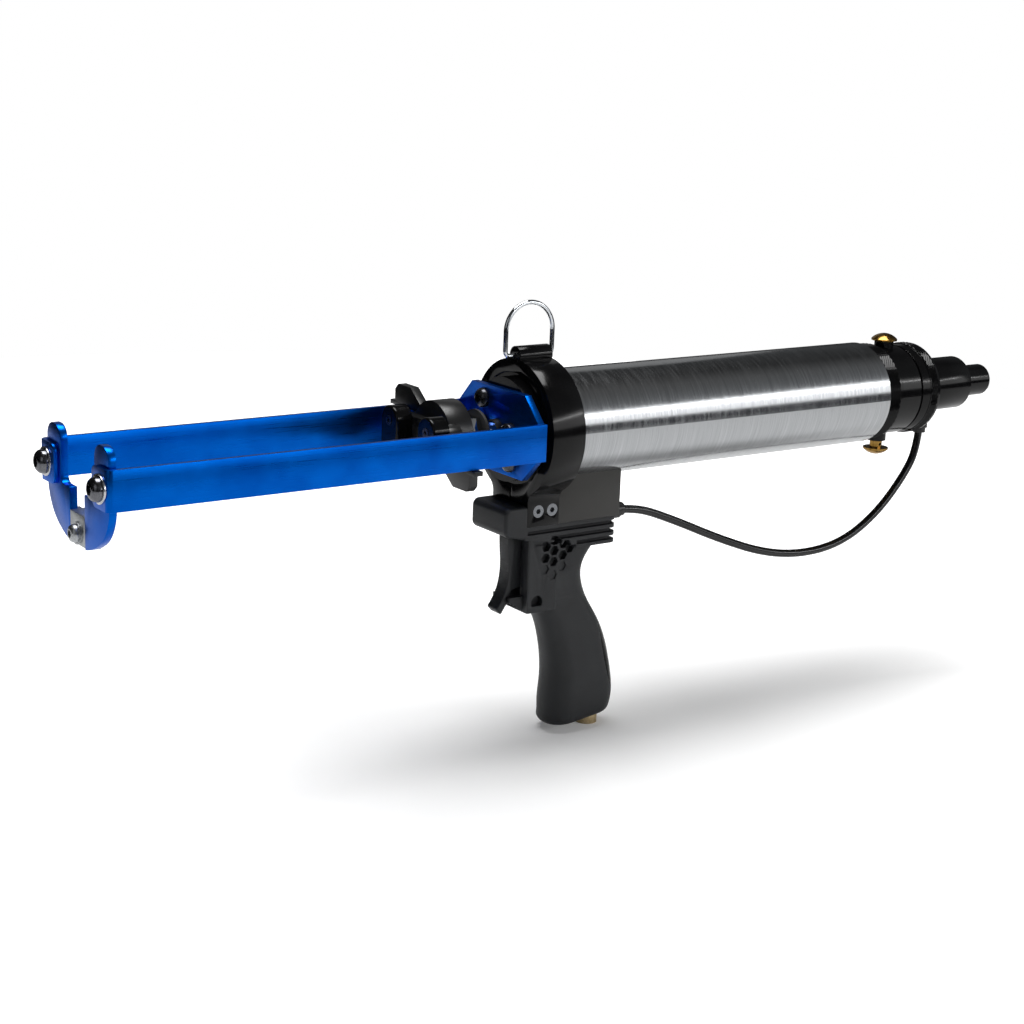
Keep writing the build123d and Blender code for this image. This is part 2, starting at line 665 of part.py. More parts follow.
with BuildPart() as piston_nut:
    with BuildSketch(Plane.YZ.offset(PISTON_REAR - PISTON_NUT_T)):
        RegularPolygon(PISTON_NUT_FLATS / 2.0, HEX, major_radius=False)
        Circle(PISTON_STUD_R + SEAT_GAP, mode=Mode.SUBTRACT)
    extrude(amount=PISTON_NUT_T)
piston_nut.part.label = "piston_nut"
export_step(piston_nut.part, "parts/piston_nut.step")

with BuildPart() as piston_rod:
    disc(piston_front, rod_front, ROD_R)
    disc(PISTON_REAR - PISTON_NUT_T, piston_front, PISTON_STUD_R)
    disc(rod_front, rod_front - ROD_THREAD_L, ROD_SCREW_R + SEAT_GAP, mode=Mode.SUBTRACT)
piston_rod.part.label = "piston_rod"
export_step(piston_rod.part, "parts/piston_rod.step")

with BuildPart() as rod_bumper:
    ring(NUT_REAR - BUMPER_T, NUT_REAR, BUMPER_R, ROD_R + SEAT_GAP)
rod_bumper.part.label = "rod_bumper"
export_step(rod_bumper.part, "parts/rod_bumper.step")

with BuildPart() as rod_nut:
    with BuildSketch(Plane.YZ.offset(NUT_REAR)):
        RegularPolygon(NUT_FLATS / 2.0, HEX, major_radius=False)
        Circle(ROD_R + SEAT_GAP, mode=Mode.SUBTRACT)
    extrude(amount=CARRIER_REAR - NUT_REAR)
rod_nut.part.label = "rod_nut"
export_step(rod_nut.part, "parts/rod_nut.step")

# ------------------------------------------------ plunger carrier and pads
with BuildPart() as plunger_carrier:
    disc(CARRIER_REAR, CARRIER_FRONT, CARRIER_R)
    with BuildSketch(Plane.YZ.offset(ARM_REAR)):
        RectangleRounded(2.0 * (PAD_Y + PAD_HALF_W), 2.0 * ARM_HALF_H, ARM_CORNER_R)
    extrude(amount=PAD_REAR - ARM_REAR)
    for side in (1.0, -1.0):
        with BuildSketch(Plane(origin=(WING_REAR, 0, 0), x_dir=(0, side, 0), z_dir=(1, 0, 0))):
            with BuildLine():
                Polyline(
                    (0.0, 0.0), (NOTCH_Y, NOTCH_Z), (WING_INNER_Y, WING_TOP),
                    (-wing_side + WING_BEVEL, WING_TOP), (-wing_side, WING_TOP - WING_BEVEL),
                    (-wing_side, wing_foot + LUG_H), (-wing_side - LUG_REACH, wing_foot + LUG_H),
                    (-wing_side - LUG_REACH, wing_foot), (-CARRIER_R / 2.0, wing_foot), close=True,
                )
            make_face()
        extrude(amount=WING_FRONT - WING_REAR)
    disc(CARRIER_REAR, rod_front, ROD_R + SEAT_GAP, mode=Mode.SUBTRACT)
    disc(rod_front, PAD_REAR, ROD_SCREW_R + SEAT_GAP, mode=Mode.SUBTRACT)
    disc(PAD_REAR - ROD_HEAD_H, PAD_REAR, ROD_HEAD_R + PASS_GAP, mode=Mode.SUBTRACT)
    bores(
        Plane.YZ.offset(PAD_REAR - PAD_SCREW_BITE), pad_screw_places, PAD_SCREW_R + SEAT_GAP, PAD_SCREW_BITE,
    )
plunger_carrier.part.label = "plunger_carrier"
export_step(plunger_carrier.part, "parts/plunger_carrier.step")

with BuildPart() as rod_screw:
    screws(
        Plane.YZ.offset(PAD_REAR - ROD_HEAD_H), [(0, 0)], ROD_HEAD_R, ROD_HEAD_H - SEAT_GAP, ROD_SCREW_R,
        PAD_REAR - ROD_HEAD_H - rod_front + ROD_THREAD_L,
    )
rod_screw.part.label = "rod_screw"
export_step(rod_screw.part, "parts/rod_screw.step")

for side, pad_name in ((1.0, "left_plunger_pad"), (-1.0, "right_plunger_pad")):
    with BuildPart() as plunger_pad:
        with BuildSketch(Plane.YZ.offset(PAD_REAR)):
            with Locations((side * PAD_Y, 0)):
                SlotOverall(2.0 * PAD_HALF_H, 2.0 * PAD_HALF_W, rotation=QUARTER_TURN)
        extrude(amount=PAD_FRONT - PAD_REAR)
        fillet(faces().sort_by(Axis.X)[-1].edges(), PAD_EDGE_R)
        own_screws = [place for place in pad_screw_places if place[0] * side > 0]
        bores(Plane.YZ.offset(PAD_REAR), own_screws, PAD_SCREW_R + SEAT_GAP, PAD_FRONT - PAD_REAR)
        bores(Plane.YZ.offset(pad_head_x), own_screws, PAD_HEAD_R + SEAT_GAP, PAD_FRONT - pad_head_x)
    plunger_pad.part.label = pad_name
    export_step(plunger_pad.part, f"parts/{pad_name}.step")

with BuildPart() as plunger_pad_screws:
    screws(
        Plane.YZ.offset(pad_head_x), pad_screw_places, PAD_HEAD_R, PAD_HEAD_H, PAD_SCREW_R,
        pad_head_x - PAD_REAR + PAD_SCREW_BITE,
    )
plunger_pad_screws.part.label = "plunger_pad_screws"
export_step(plunger_pad_screws.part, "parts/plunger_pad_screws.step")

# ------------------------------------------------ clamp ring with hang boss and split block
with BuildPart() as clamp_ring:
    with BuildSketch(Plane.YZ.offset(ring_rear)):
        Circle(RING_R)
        with Locations((0, BLOCK_BOTTOM / 2.0)):
            Rectangle(2.0 * BLOCK_HALF, -BLOCK_BOTTOM)
        neck_z = -math.sqrt(RING_R**2 - BLOCK_HALF**2)
        neck_corners = vertices().filter_by(lambda corner: abs(corner.Y - neck_z) < SAME_PLACE)
        fillet(neck_corners, NECK_FILLET_R)
        with Locations((0, BOSS_Z)):
            Circle(BOSS_R)
        Circle(TUBE_R + SEAT_GAP, mode=Mode.SUBTRACT)
        with Locations((0, BLOCK_BOTTOM / 2.0)):
            Rectangle(SPLIT_W, -BLOCK_BOTTOM, mode=Mode.SUBTRACT)
    extrude(amount=RING_LENGTH)
    bores(Plane.YZ.offset(ring_rear), [(0, BOSS_Z)], WIRE_R + RUN_GAP, RING_LENGTH)
    bores(left_facing(-BLOCK_HALF), pinch_places, PINCH_R + SEAT_GAP, 2.0 * BLOCK_HALF)
    bores(left_facing(pinch_seat), pinch_places, PINCH_HEAD_R + SEAT_GAP, BLOCK_HALF - pinch_seat)
clamp_ring.part.label = "clamp_ring"
export_step(clamp_ring.part, "parts/clamp_ring.step")

with BuildPart() as clamp_screws:
    screws(
        left_facing(pinch_seat), pinch_places, PINCH_HEAD_R, PINCH_HEAD_H, PINCH_R,
        pinch_seat + PINCH_BITE,
    )
clamp_screws.part.label = "clamp_screws"
export_step(clamp_screws.part, "parts/clamp_screws.step")

with BuildPart() as hang_ring:
    with BuildLine(Plane.XZ) as hang_path:
        hang_left = HANG_X - HANG_HALF_W
        hang_right = HANG_X + HANG_HALF_W
        arch_z = HANG_TOP - HANG_HALF_W
        Line((HANG_X, BOSS_Z), (hang_left + HANG_CORNER_R, BOSS_Z))
        JernArc((hang_left + HANG_CORNER_R, BOSS_Z), (-1, 0), HANG_CORNER_R, -QUARTER_TURN)
        Line((hang_left, BOSS_Z + HANG_CORNER_R), (hang_left, arch_z))
        JernArc((hang_left, arch_z), (0, 1), HANG_HALF_W, -2.0 * QUARTER_TURN)
        Line((hang_right, arch_z), (hang_right, BOSS_Z + HANG_CORNER_R))
        JernArc((hang_right, BOSS_Z + HANG_CORNER_R), (0, -1), HANG_CORNER_R, -QUARTER_TURN)
        Line((hang_right - HANG_CORNER_R, BOSS_Z), (HANG_X, BOSS_Z))
    with BuildSketch(Plane.YZ.offset(HANG_X)):
        with Locations((0, BOSS_Z)):
            Circle(WIRE_R)
    sweep(path=hang_path.wire())
hang_ring.part.label = "hang_ring"
export_step(hang_ring.part, "parts/hang_ring.step")

# ------------------------------------------------ valve block under the barrel
with BuildPart() as valve_block:
    with BuildSketch(Plane.YZ.offset(VALVE_REAR)):
        with Locations((0, (BLOCK_BOTTOM + SADDLE_Z) / 2.0)):
            Rectangle(2.0 * BLOCK_HALF, SADDLE_Z - BLOCK_BOTTOM)
        with Locations((0, (TONGUE_BOTTOM + SADDLE_Z) / 2.0)):
            Rectangle(2.0 * TONGUE_HALF, SADDLE_Z - TONGUE_BOTTOM)
        Circle(TUBE_R + SEAT_GAP, mode=Mode.SUBTRACT)
    extrude(amount=ring_rear - VALVE_REAR)
    with BuildSketch(Plane.XY.offset(TONGUE_BOTTOM)):
        Rectangle(2.0 * (TONGUE_SETBACK + SEAT_GAP - ring_rear), 2.0 * OVERCUT * BLOCK_HALF)
    extrude(amount=BLOCK_BOTTOM - TONGUE_BOTTOM, mode=Mode.SUBTRACT)
    bores(Plane.YZ.offset(VALVE_REAR), [(0, PORT_Z)], STUD_R + SEAT_GAP, STUD_L + SEAT_GAP)
    bores(
        Plane.XY.offset(TONGUE_BOTTOM), handle_screw_places, HANDLE_SCREW_R + SEAT_GAP, HANDLE_SCREW_BITE,
    )
valve_block.part.label = "valve_block"
export_step(valve_block.part, "parts/valve_block.step")

# ------------------------------------------------ handle
with BuildPart() as grip_form:
    for z, front, rear, half_width, corner_r in GRIP:
        with BuildSketch(Plane.XY.offset(z)):
            with Locations(((front + rear) / 2.0, 0)):
                RectangleRounded(front - rear, 2.0 * half_width, corner_r)
    loft()
    with BuildSketch(Plane.XZ):
        with BuildLine():
            Polyline(
                HEEL_FRONT, HEEL_REAR, (HEEL_REAR[0], 2.0 * HEEL_FRONT[1]),
                (-HEEL_FRONT[0], 2.0 * HEEL_FRONT[1]),
                (-HEEL_FRONT[0], HEEL_FRONT[1]), close=True,
            )
        make_face()
    extrude(amount=2.0 * BLOCK_HALF, both=True, mode=Mode.SUBTRACT)
    fillet(faces().sort_by(Axis.Z)[0].edges(), HEEL_EDGE_R)

with BuildPart() as handle:
    with BuildSketch(Plane.XZ):
        with BuildLine():
            FilletPolyline(
                (RING_FRONT, NOSE_TOP), (NOSE_FRONT, NOSE_TOP), (NOSE_FRONT, NOSE_BOTTOM),
                (RING_FRONT, NOSE_ROOT_Z), radius=NOSE_EDGE_R,
            )
            Line((RING_FRONT, NOSE_ROOT_Z), (RING_FRONT, NOSE_TOP))
        make_face()
    extrude(amount=BLOCK_HALF, both=True)
    fillet(edges().filter_by(Axis.Z).group_by(Axis.X)[-1], NOSE_EDGE_R / 2.0)
    with BuildSketch(Plane.XZ):
        with BuildLine():
            Polyline(
                (RING_FRONT, BLOCK_BOTTOM), (RING_FRONT, NOSE_ROOT_Z),
                (FIN_FRONT[1], NOSE_ROOT_Z - FIN_GROOVE),
                (FIN_FRONT[2], DECK_BOTTOM), (DECK_REAR, DECK_BOTTOM), (DECK_REAR, BLOCK_BOTTOM),
                close=True,
            )
        make_face()
    extrude(amount=BLOCK_HALF, both=True)
    fillet(edges().filter_by(Axis.Z).group_by(Axis.X)[0], DECK_CORNER_R)
    for groove_z, groove_front in zip(FIN_Z, FIN_FRONT):
        with BuildSketch(Plane.XY.offset(groove_z - FIN_GROOVE / 2.0)):
            with Locations((groove_front, 0)):
                Rectangle(
                    2.0 * (groove_front - DECK_REAR), 2.0 * OVERCUT * BLOCK_HALF,
                    align=(Align.MAX, Align.CENTER),
                )
            with Locations((DECK_REAR + FIN_DEPTH, 0)):
                core_length = RING_FRONT - DECK_REAR - FIN_DEPTH
                Rectangle(
                    core_length, 2.0 * (BLOCK_HALF - FIN_DEPTH), align=(Align.MIN, Align.CENTER),
                    mode=Mode.SUBTRACT,
                )
        extrude(amount=FIN_GROOVE, mode=Mode.SUBTRACT)
    with BuildSketch(Plane.XY.offset(HOUSING_BOTTOM)):
        with Locations(((HOUSING_FRONT + HOUSING_REAR) / 2.0, 0)):
            RectangleRounded(HOUSING_FRONT - HOUSING_REAR, 2.0 * HOUSING_HALF, HOUSING_EDGE_R)
    extrude(amount=HOUSING_TOP - HOUSING_BOTTOM)
    add(grip_form.part)
    with BuildSketch(Plane.XZ):
        with BuildLine():
            Polyline(
                (LIP_FRONT, LIP_TOP), (LIP_FRONT, LIP_TOP - LIP_EDGE), (TRIGGER_SLOT_REAR + LIP_FLOOR_L,
                LIP_BOTTOM + LIP_EDGE / 2.0), (LIP_REAR, LIP_BOTTOM), (LIP_REAR, LIP_TOP), close=True,
            )
        make_face()
    extrude(amount=LIP_HALF, both=True)
    with BuildSketch(Plane.XZ):
        with BuildLine():
            Polyline(
                (TRIGGER_SLOT_REAR, BLOCK_BOTTOM), (TRIGGER_HOOD, BLOCK_BOTTOM),
                (TRIGGER_HOOD, HOOD_BOTTOM),
                (-LIP_FRONT, HOOD_BOTTOM), (-LIP_FRONT, TRIGGER_SLOT_FLOOR),
                (TRIGGER_SLOT_REAR, TRIGGER_SLOT_FLOOR), close=True,
            )
        make_face()
    extrude(amount=TRIGGER_SLOT_HALF, both=True, mode=Mode.SUBTRACT)
    with BuildSketch(Plane.YZ.offset(VALVE_REAR)):
        with Locations((0, (TONGUE_BOTTOM + BLOCK_BOTTOM) / 2.0)):
            Rectangle(2.0 * (TONGUE_HALF + SEAT_GAP), BLOCK_BOTTOM - TONGUE_BOTTOM)
    extrude(amount=ring_rear - TONGUE_SETBACK - VALVE_REAR, mode=Mode.SUBTRACT)
    bores(
        Plane.YZ.offset(VALVE_BODY_REAR), [(0, VALVE_Z)], VALVE_R + SEAT_GAP,
        TRIGGER_SLOT_REAR - VALVE_BODY_REAR,
    )
    bores(left_facing(-PIVOT_HALF), [(PIVOT[0], -PIVOT[1])], PIVOT_R + SEAT_GAP, 2.0 * PIVOT_HALF)
    bores(Plane.XY.offset(grip_bottom), [(INLET_X, 0)], INLET_RIM_R + SEAT_GAP, inlet_seat - grip_bottom)
    bores(Plane.XY.offset(inlet_seat), [(INLET_X, 0)], INLET_R + SEAT_GAP, INLET_DEPTH)
    passage = Vector(OUTLET_X, 0, VALVE_Z) - Vector(INLET_X, 0, inlet_seat + INLET_DEPTH)
    with BuildSketch(Plane(origin=(INLET_X, 0, inlet_seat + INLET_DEPTH), z_dir=passage)):
        Circle(PASSAGE_R)
    extrude(amount=passage.length, mode=Mode.SUBTRACT)
    bores(Plane.XY.offset(VALVE_Z), [(OUTLET_X, 0)], PASSAGE_R, TONGUE_BOTTOM - VALVE_Z)
    bores(Plane.XY.offset(HANDLE_HEAD_Z), handle_screw_places, HANDLE_SCREW_R + SEAT_GAP,
          TONGUE_BOTTOM - HANDLE_HEAD_Z)
    bores(Plane.XY.offset(HANDLE_ACCESS_Z), handle_screw_places, HANDLE_HEAD_R + SEAT_GAP,
          HANDLE_HEAD_Z - HANDLE_ACCESS_Z)
    with BuildSketch(Plane.XZ):
        with BuildLine():
            ThreePointArc(PANEL_TOP, PANEL_MIDDLE, PANEL_BOTTOM)
            Polyline(
                PANEL_BOTTOM, (VALVE_REAR - BLOCK_HALF, PANEL_BOTTOM[1]),
                (VALVE_REAR - BLOCK_HALF, PANEL_TOP[1]), PANEL_TOP,
            )
        make_face()
    extrude(amount=BLOCK_HALF, both=True, mode=Mode.SUBTRACT)
handle.part.label = "handle"
export_step(handle.part, "parts/handle.step")

with BuildPart() as grip_back_panel:
    add(grip_form.part)
    with BuildSketch(Plane.XZ):
        with BuildLine():
            panel_edge = ThreePointArc(
                (PANEL_TOP[0] - PANEL_GAP, PANEL_TOP[1] - PANEL_GAP),
                (PANEL_MIDDLE[0] - PANEL_GAP, PANEL_MIDDLE[1]),
                (PANEL_BOTTOM[0] - PANEL_GAP, PANEL_BOTTOM[1] + PANEL_GAP),
            )
            Polyline(
                panel_edge @ 1, (VALVE_REAR - BLOCK_HALF, PANEL_BOTTOM[1] + PANEL_GAP),
                (VALVE_REAR - BLOCK_HALF, PANEL_TOP[1] - PANEL_GAP), panel_edge @ 0,
            )
        make_face()
    extrude(amount=BLOCK_HALF, both=True, mode=Mode.INTERSECT)
grip_back_panel.part.label = "grip_back_panel"
export_step(grip_back_panel.part, "parts/grip_back_panel.step")

with BuildPart() as handle_screws:
    screws(
        down_facing(HANDLE_HEAD_Z), [(x, -y) for x, y in handle_screw_places], HANDLE_HEAD_R,
        HANDLE_HEAD_H,
        HANDLE_SCREW_R, TONGUE_BOTTOM + HANDLE_SCREW_BITE - HANDLE_HEAD_Z,
    )
handle_screws.part.label = "handle_screws"
export_step(handle_screws.part, "parts/handle_screws.step")

# ------------------------------------------------ trigger and its valve
with BuildPart() as trigger:
    with BuildSketch(Plane.XZ):
        with BuildLine():
            Spline(TRIGGER_FRONT_EDGE)
            Polyline(TRIGGER_FRONT_EDGE[-1], *TRIGGER_REAR_EDGE, TRIGGER_FRONT_EDGE[0])
        make_face()
        with Locations(PIVOT):
            Circle(PIVOT_BOSS_R)
    extrude(amount=TRIGGER_HALF, both=True)
    bores(left_facing(-TRIGGER_HALF), [(PIVOT[0], -PIVOT[1])], PIVOT_R + RUN_GAP, 2.0 * TRIGGER_HALF)
trigger.part.label = "trigger"
export_step(trigger.part, "parts/trigger.step")

with BuildPart() as trigger_pin:
    with BuildSketch(left_facing(-PIVOT_HALF)):
        with Locations((PIVOT[0], -PIVOT[1])):
            Circle(PIVOT_R)
    extrude(amount=2.0 * PIVOT_HALF)
trigger_pin.part.label = "trigger_pin"
export_step(trigger_pin.part, "parts/trigger_pin.step")

with BuildPart() as trigger_valve_body:
    with BuildSketch(Plane.YZ.offset(VALVE_BODY_REAR)):
        with Locations((0, VALVE_Z)):
            Circle(VALVE_R)
    extrude(amount=TRIGGER_SLOT_REAR - VALVE_BODY_REAR)
    bores(Plane.YZ.offset(VALVE_BODY_REAR), [(0, VALVE_Z)], CHAMBER_R, CHAMBER_FRONT - VALVE_BODY_REAR)
    bores(
        Plane.YZ.offset(CHAMBER_FRONT), [(0, VALVE_Z)], STEM_R + RUN_GAP, TRIGGER_SLOT_REAR - CHAMBER_FRONT,
    )
trigger_valve_body.part.label = "trigger_valve_body"
export_step(trigger_valve_body.part, "parts/trigger_valve_body.step")

with BuildPart() as trigger_valve_plug:
    with BuildSketch(Plane.YZ.offset(VALVE_BODY_REAR)):
        with Locations((0, VALVE_Z)):
            Circle(CHAMBER_R - SEAT_GAP)
    extrude(amount=CHAMBER_REAR - VALVE_BODY_REAR)
trigger_valve_plug.part.label = "trigger_valve_plug"
export_step(trigger_valve_plug.part, "parts/trigger_valve_plug.step")

with BuildPart() as valve_stem:
    with BuildSketch(Plane.YZ.offset(STEM_REAR)):
        with Locations((0, VALVE_Z)):
            Circle(STEM_R)
    extrude(amount=STEM_TIP - STEM_REAR)
    with BuildSketch(Plane.YZ.offset(STEM_REAR)):
        with Locations((0, VALVE_Z)):
            Circle(COLLAR_R)
    extrude(amount=COLLAR_T)
valve_stem.part.label = "valve_stem"
export_step(valve_stem.part, "parts/valve_stem.step")

with BuildPart() as valve_spring:
    coil(
        Plane(origin=(CHAMBER_REAR, 0, VALVE_Z), x_dir=(0, 1, 0), z_dir=(1, 0, 0)), SPRING_R,
        SPRING_WIRE_R,
        STEM_REAR - CHAMBER_REAR, SPRING_TURNS,
    )
valve_spring.part.label = "valve_spring"
export_step(valve_spring.part, "parts/valve_spring.step")

# ------------------------------------------------ air inlet
with BuildPart() as air_inlet:
    with BuildSketch(Plane.XY.offset(INLET_BOTTOM)):
        with Locations((INLET_X, 0)):
            Circle(INLET_RIM_R)
    extrude(amount=inlet_seat - INLET_BOTTOM)
    with BuildSketch(Plane.XY.offset(inlet_seat)):
        with Locations((INLET_X, 0)):
            Circle(INLET_R)
    extrude(amount=INLET_DEPTH)
    bores(Plane.XY.offset(INLET_BOTTOM), [(INLET_X, 0)], INLET_BORE_R, INLET_BORE_L)
    bores(
        Plane.XY.offset(INLET_BOTTOM + INLET_BORE_L), [(INLET_X, 0)], PASSAGE_R,
        inlet_seat + INLET_DEPTH - INLET_BOTTOM - INLET_BORE_L,
    )
air_inlet.part.label = "air_inlet"
export_step(air_inlet.part, "parts/air_inlet.step")

# ------------------------------------------------ rear cap
with BuildPart() as lock_ring:
    ring(LOCK_REAR, TUBE_REAR, LOCK_R, NECK_R + SEAT_GAP)
lock_ring.part.label = "lock_ring"
export_step(lock_ring.part, "parts/lock_ring.step")

with BuildPart() as spool_block:
    disc(TUBE_REAR + BLOCK_SPIGOT_L, TUBE_REAR, tube_bore_r - SEAT_GAP)
    ring_groove(rear_seal_x, tube_bore_r - SEAT_GAP, ORING_R)
    disc(TUBE_REAR, LOCK_REAR, NECK_R)
    disc(LOCK_REAR, CAP_FRONT, GROOVE_R)
    disc(SPOOL_BLOCK_FRONT, SPOOL_BLOCK_REAR, CAP_R)
    with BuildSketch(Plane.XY.offset(SPOOL_BOSS_BOTTOM)):
        with Locations((SPOOL_X, 0)):
            Circle(SPOOL_BOSS_R)
    extrude(amount=SPOOL_BOSS_TOP - SPOOL_BOSS_BOTTOM)
    bores(
        Plane.XY.offset(SPOOL_BOSS_BOTTOM), [(SPOOL_X, 0)], SPOOL_R + RUN_GAP,
        SPOOL_BOSS_TOP - SPOOL_BOSS_BOTTOM,
    )
    disc(CAP_FRONT, CAP_FRONT + CAP_SPIGOT_L + PASS_GAP, CAP_SPIGOT_R + SEAT_GAP, mode=Mode.SUBTRACT)
    for port_z in PORTS_Z:
        bores(
            Plane.YZ.offset(SPOOL_X), [(0, port_z)], PASSAGE_R / 2.0, TUBE_REAR + BLOCK_SPIGOT_L - SPOOL_X,
        )
spool_block.part.label = "spool_block"
export_step(spool_block.part, "parts/spool_block.step")

with BuildPart() as rear_cap_seal:
    torus_on_axis(rear_seal_x, tube_bore_r - SEAT_GAP - ORING_R, ORING_R)
rear_cap_seal.part.label = "rear_cap_seal"
export_step(rear_cap_seal.part, "parts/rear_cap_seal.step")

with BuildPart() as shuttle_spool:
    with BuildSketch(Plane.XZ):
        with BuildLine():
            Polyline(
                (SPOOL_X, spool_tang_bottom), (SPOOL_X + SPOOL_TANG_R, spool_tang_bottom),
                (SPOOL_X + SPOOL_TANG_R, spool_foot), (SPOOL_X + SPOOL_R, spool_foot),
                (SPOOL_X + SPOOL_R, spool_seat), (SPOOL_X + SPOOL_HEAD_R, spool_seat),
                (SPOOL_X + SPOOL_HEAD_R, spool_seat + SPOOL_RIM_H),
            )
            RadiusArc(
                (SPOOL_X + SPOOL_HEAD_R, spool_seat + SPOOL_RIM_H), (SPOOL_X, spool_top), -head_dome_r,
            )
            Line((SPOOL_X, spool_top), (SPOOL_X, spool_tang_bottom))
        make_face()
        for ring_z in SPOOL_RING_Z:
            with Locations((SPOOL_X + SPOOL_R, ring_z)):
                Rectangle(2.0 * spool_groove, 2.0 * (SPOOL_RING_R + SEAT_GAP), mode=Mode.SUBTRACT)
    revolve(axis=Axis((SPOOL_X, 0, 0), (0, 0, 1)))
    with BuildSketch(left_facing(-SPOOL_HEAD_R)):
        with Locations((SPOOL_X, -spool_vent_z)):
            Circle(VENT_R)
    extrude(amount=2.0 * SPOOL_HEAD_R, mode=Mode.SUBTRACT)
shuttle_spool.part.label = "shuttle_spool"
export_step(shuttle_spool.part, "parts/shuttle_spool.step")

with BuildPart() as spool_button:
    with BuildSketch(Plane.XZ):
        with BuildLine():
            Polyline(
                (SPOOL_X, button_bottom), (SPOOL_X, spool_tang_bottom),
                (SPOOL_X + SPOOL_TANG_R + SEAT_GAP, spool_tang_bottom),
                (SPOOL_X + SPOOL_TANG_R + SEAT_GAP, spool_foot), (SPOOL_X + SPOOL_HEAD_R, spool_foot),
                (SPOOL_X + SPOOL_HEAD_R, spool_foot - SPOOL_RIM_H),
            )
            RadiusArc(
                (SPOOL_X + SPOOL_HEAD_R, spool_foot - SPOOL_RIM_H), (SPOOL_X, button_bottom), head_dome_r,
            )
        make_face()
    revolve(axis=Axis((SPOOL_X, 0, 0), (0, 0, 1)))
spool_button.part.label = "spool_button"
export_step(spool_button.part, "parts/spool_button.step")

with BuildPart() as spool_seals:
    with BuildSketch(Plane.XZ):
        for ring_z in SPOOL_RING_Z:
            with Locations((SPOOL_X + SPOOL_R - SPOOL_RING_R, ring_z)):
                Circle(SPOOL_RING_R)
    revolve(axis=Axis((SPOOL_X, 0, 0), (0, 0, 1)))
spool_seals.part.label = "spool_seals"
export_step(spool_seals.part, "parts/spool_seals.step")

with BuildPart() as end_cap:
    disc(CAP_FRONT, CAP_REAR, CAP_R)
    disc(CAP_FRONT + CAP_SPIGOT_L, CAP_FRONT, CAP_SPIGOT_R)
    disc(KNURL_FRONT, CAP_REAR, KNURL_R)
    disc(CAP_REAR, REG_SPIGOT_FRONT, REG_SPIGOT_R + SEAT_GAP, mode=Mode.SUBTRACT)
    disc(REG_SPIGOT_FRONT, CAP_FRONT + CAP_SPIGOT_L, PASSAGE_R, mode=Mode.SUBTRACT)
end_cap.part.label = "end_cap"
export_step(end_cap.part, "parts/end_cap.step")

# ------------------------------------------------ regulator
with BuildPart() as regulator_body:
    disc(CAP_REAR, REG_REAR, REG_R)
    chamfer(faces().sort_by(Axis.X)[0].edges(), REG_EDGE)
    disc(REG_SPIGOT_FRONT, CAP_REAR, REG_SPIGOT_R)
    disc(REG_BORE_FRONT, REG_BORE_REAR, REG_BORE_R, mode=Mode.SUBTRACT)
    disc(REG_SPIGOT_FRONT, REG_BORE_FRONT, PASSAGE_R, mode=Mode.SUBTRACT)
    disc(REG_BORE_REAR, REG_REAR, ADJUST_R + RUN_GAP, mode=Mode.SUBTRACT)
    bores(
        Plane.XY.offset(SPOT_Z - REG_R), [(REAR_FITTING_X, 0)], FITTING_R + SEAT_GAP, REG_R,
    )
    bores(Plane.XY.offset(SPOT_Z), [(REAR_FITTING_X, 0)], STUD_R + SEAT_GAP, STUD_L + PASS_GAP)
regulator_body.part.label = "regulator_body"
export_step(regulator_body.part, "parts/regulator_body.step")

with BuildPart() as regulator_disc:
    disc(REG_BORE_FRONT, REG_BORE_FRONT - DISC_T, REG_BORE_R - SEAT_GAP)
regulator_disc.part.label = "regulator_disc"
export_step(regulator_disc.part, "parts/regulator_disc.step")

with BuildPart() as regulator_spring:
    coil(
        Plane.YZ.offset(FOLLOWER_X + FOLLOWER_T), REG_SPRING_R, REG_SPRING_WIRE_R,
        REG_BORE_FRONT - DISC_T - FOLLOWER_X - FOLLOWER_T, SPRING_TURNS,
    )
regulator_spring.part.label = "regulator_spring"
export_step(regulator_spring.part, "parts/regulator_spring.step")

with BuildPart() as spring_follower:
    ring(FOLLOWER_X, FOLLOWER_X + FOLLOWER_T, REG_BORE_R - RUN_GAP, ADJUST_R + RUN_GAP)
spring_follower.part.label = "spring_follower"
export_step(spring_follower.part, "parts/spring_follower.step")

with BuildPart() as regulator_screw:
    disc(REG_REAR - KNOB_SOCKET, ADJUST_FRONT, ADJUST_R)
regulator_screw.part.label = "regulator_screw"
export_step(regulator_screw.part, "parts/regulator_screw.step")

with BuildPart() as regulator_knob:
    disc(knob_front, KNOB_REAR, KNOB_R)
    fillet(faces().sort_by(Axis.X)[0].edges(), KNOB_EDGE_R)
    disc(knob_front, REG_REAR - KNOB_SOCKET, ADJUST_R + SEAT_GAP, mode=Mode.SUBTRACT)
regulator_knob.part.label = "regulator_knob"
export_step(regulator_knob.part, "parts/regulator_knob.step")

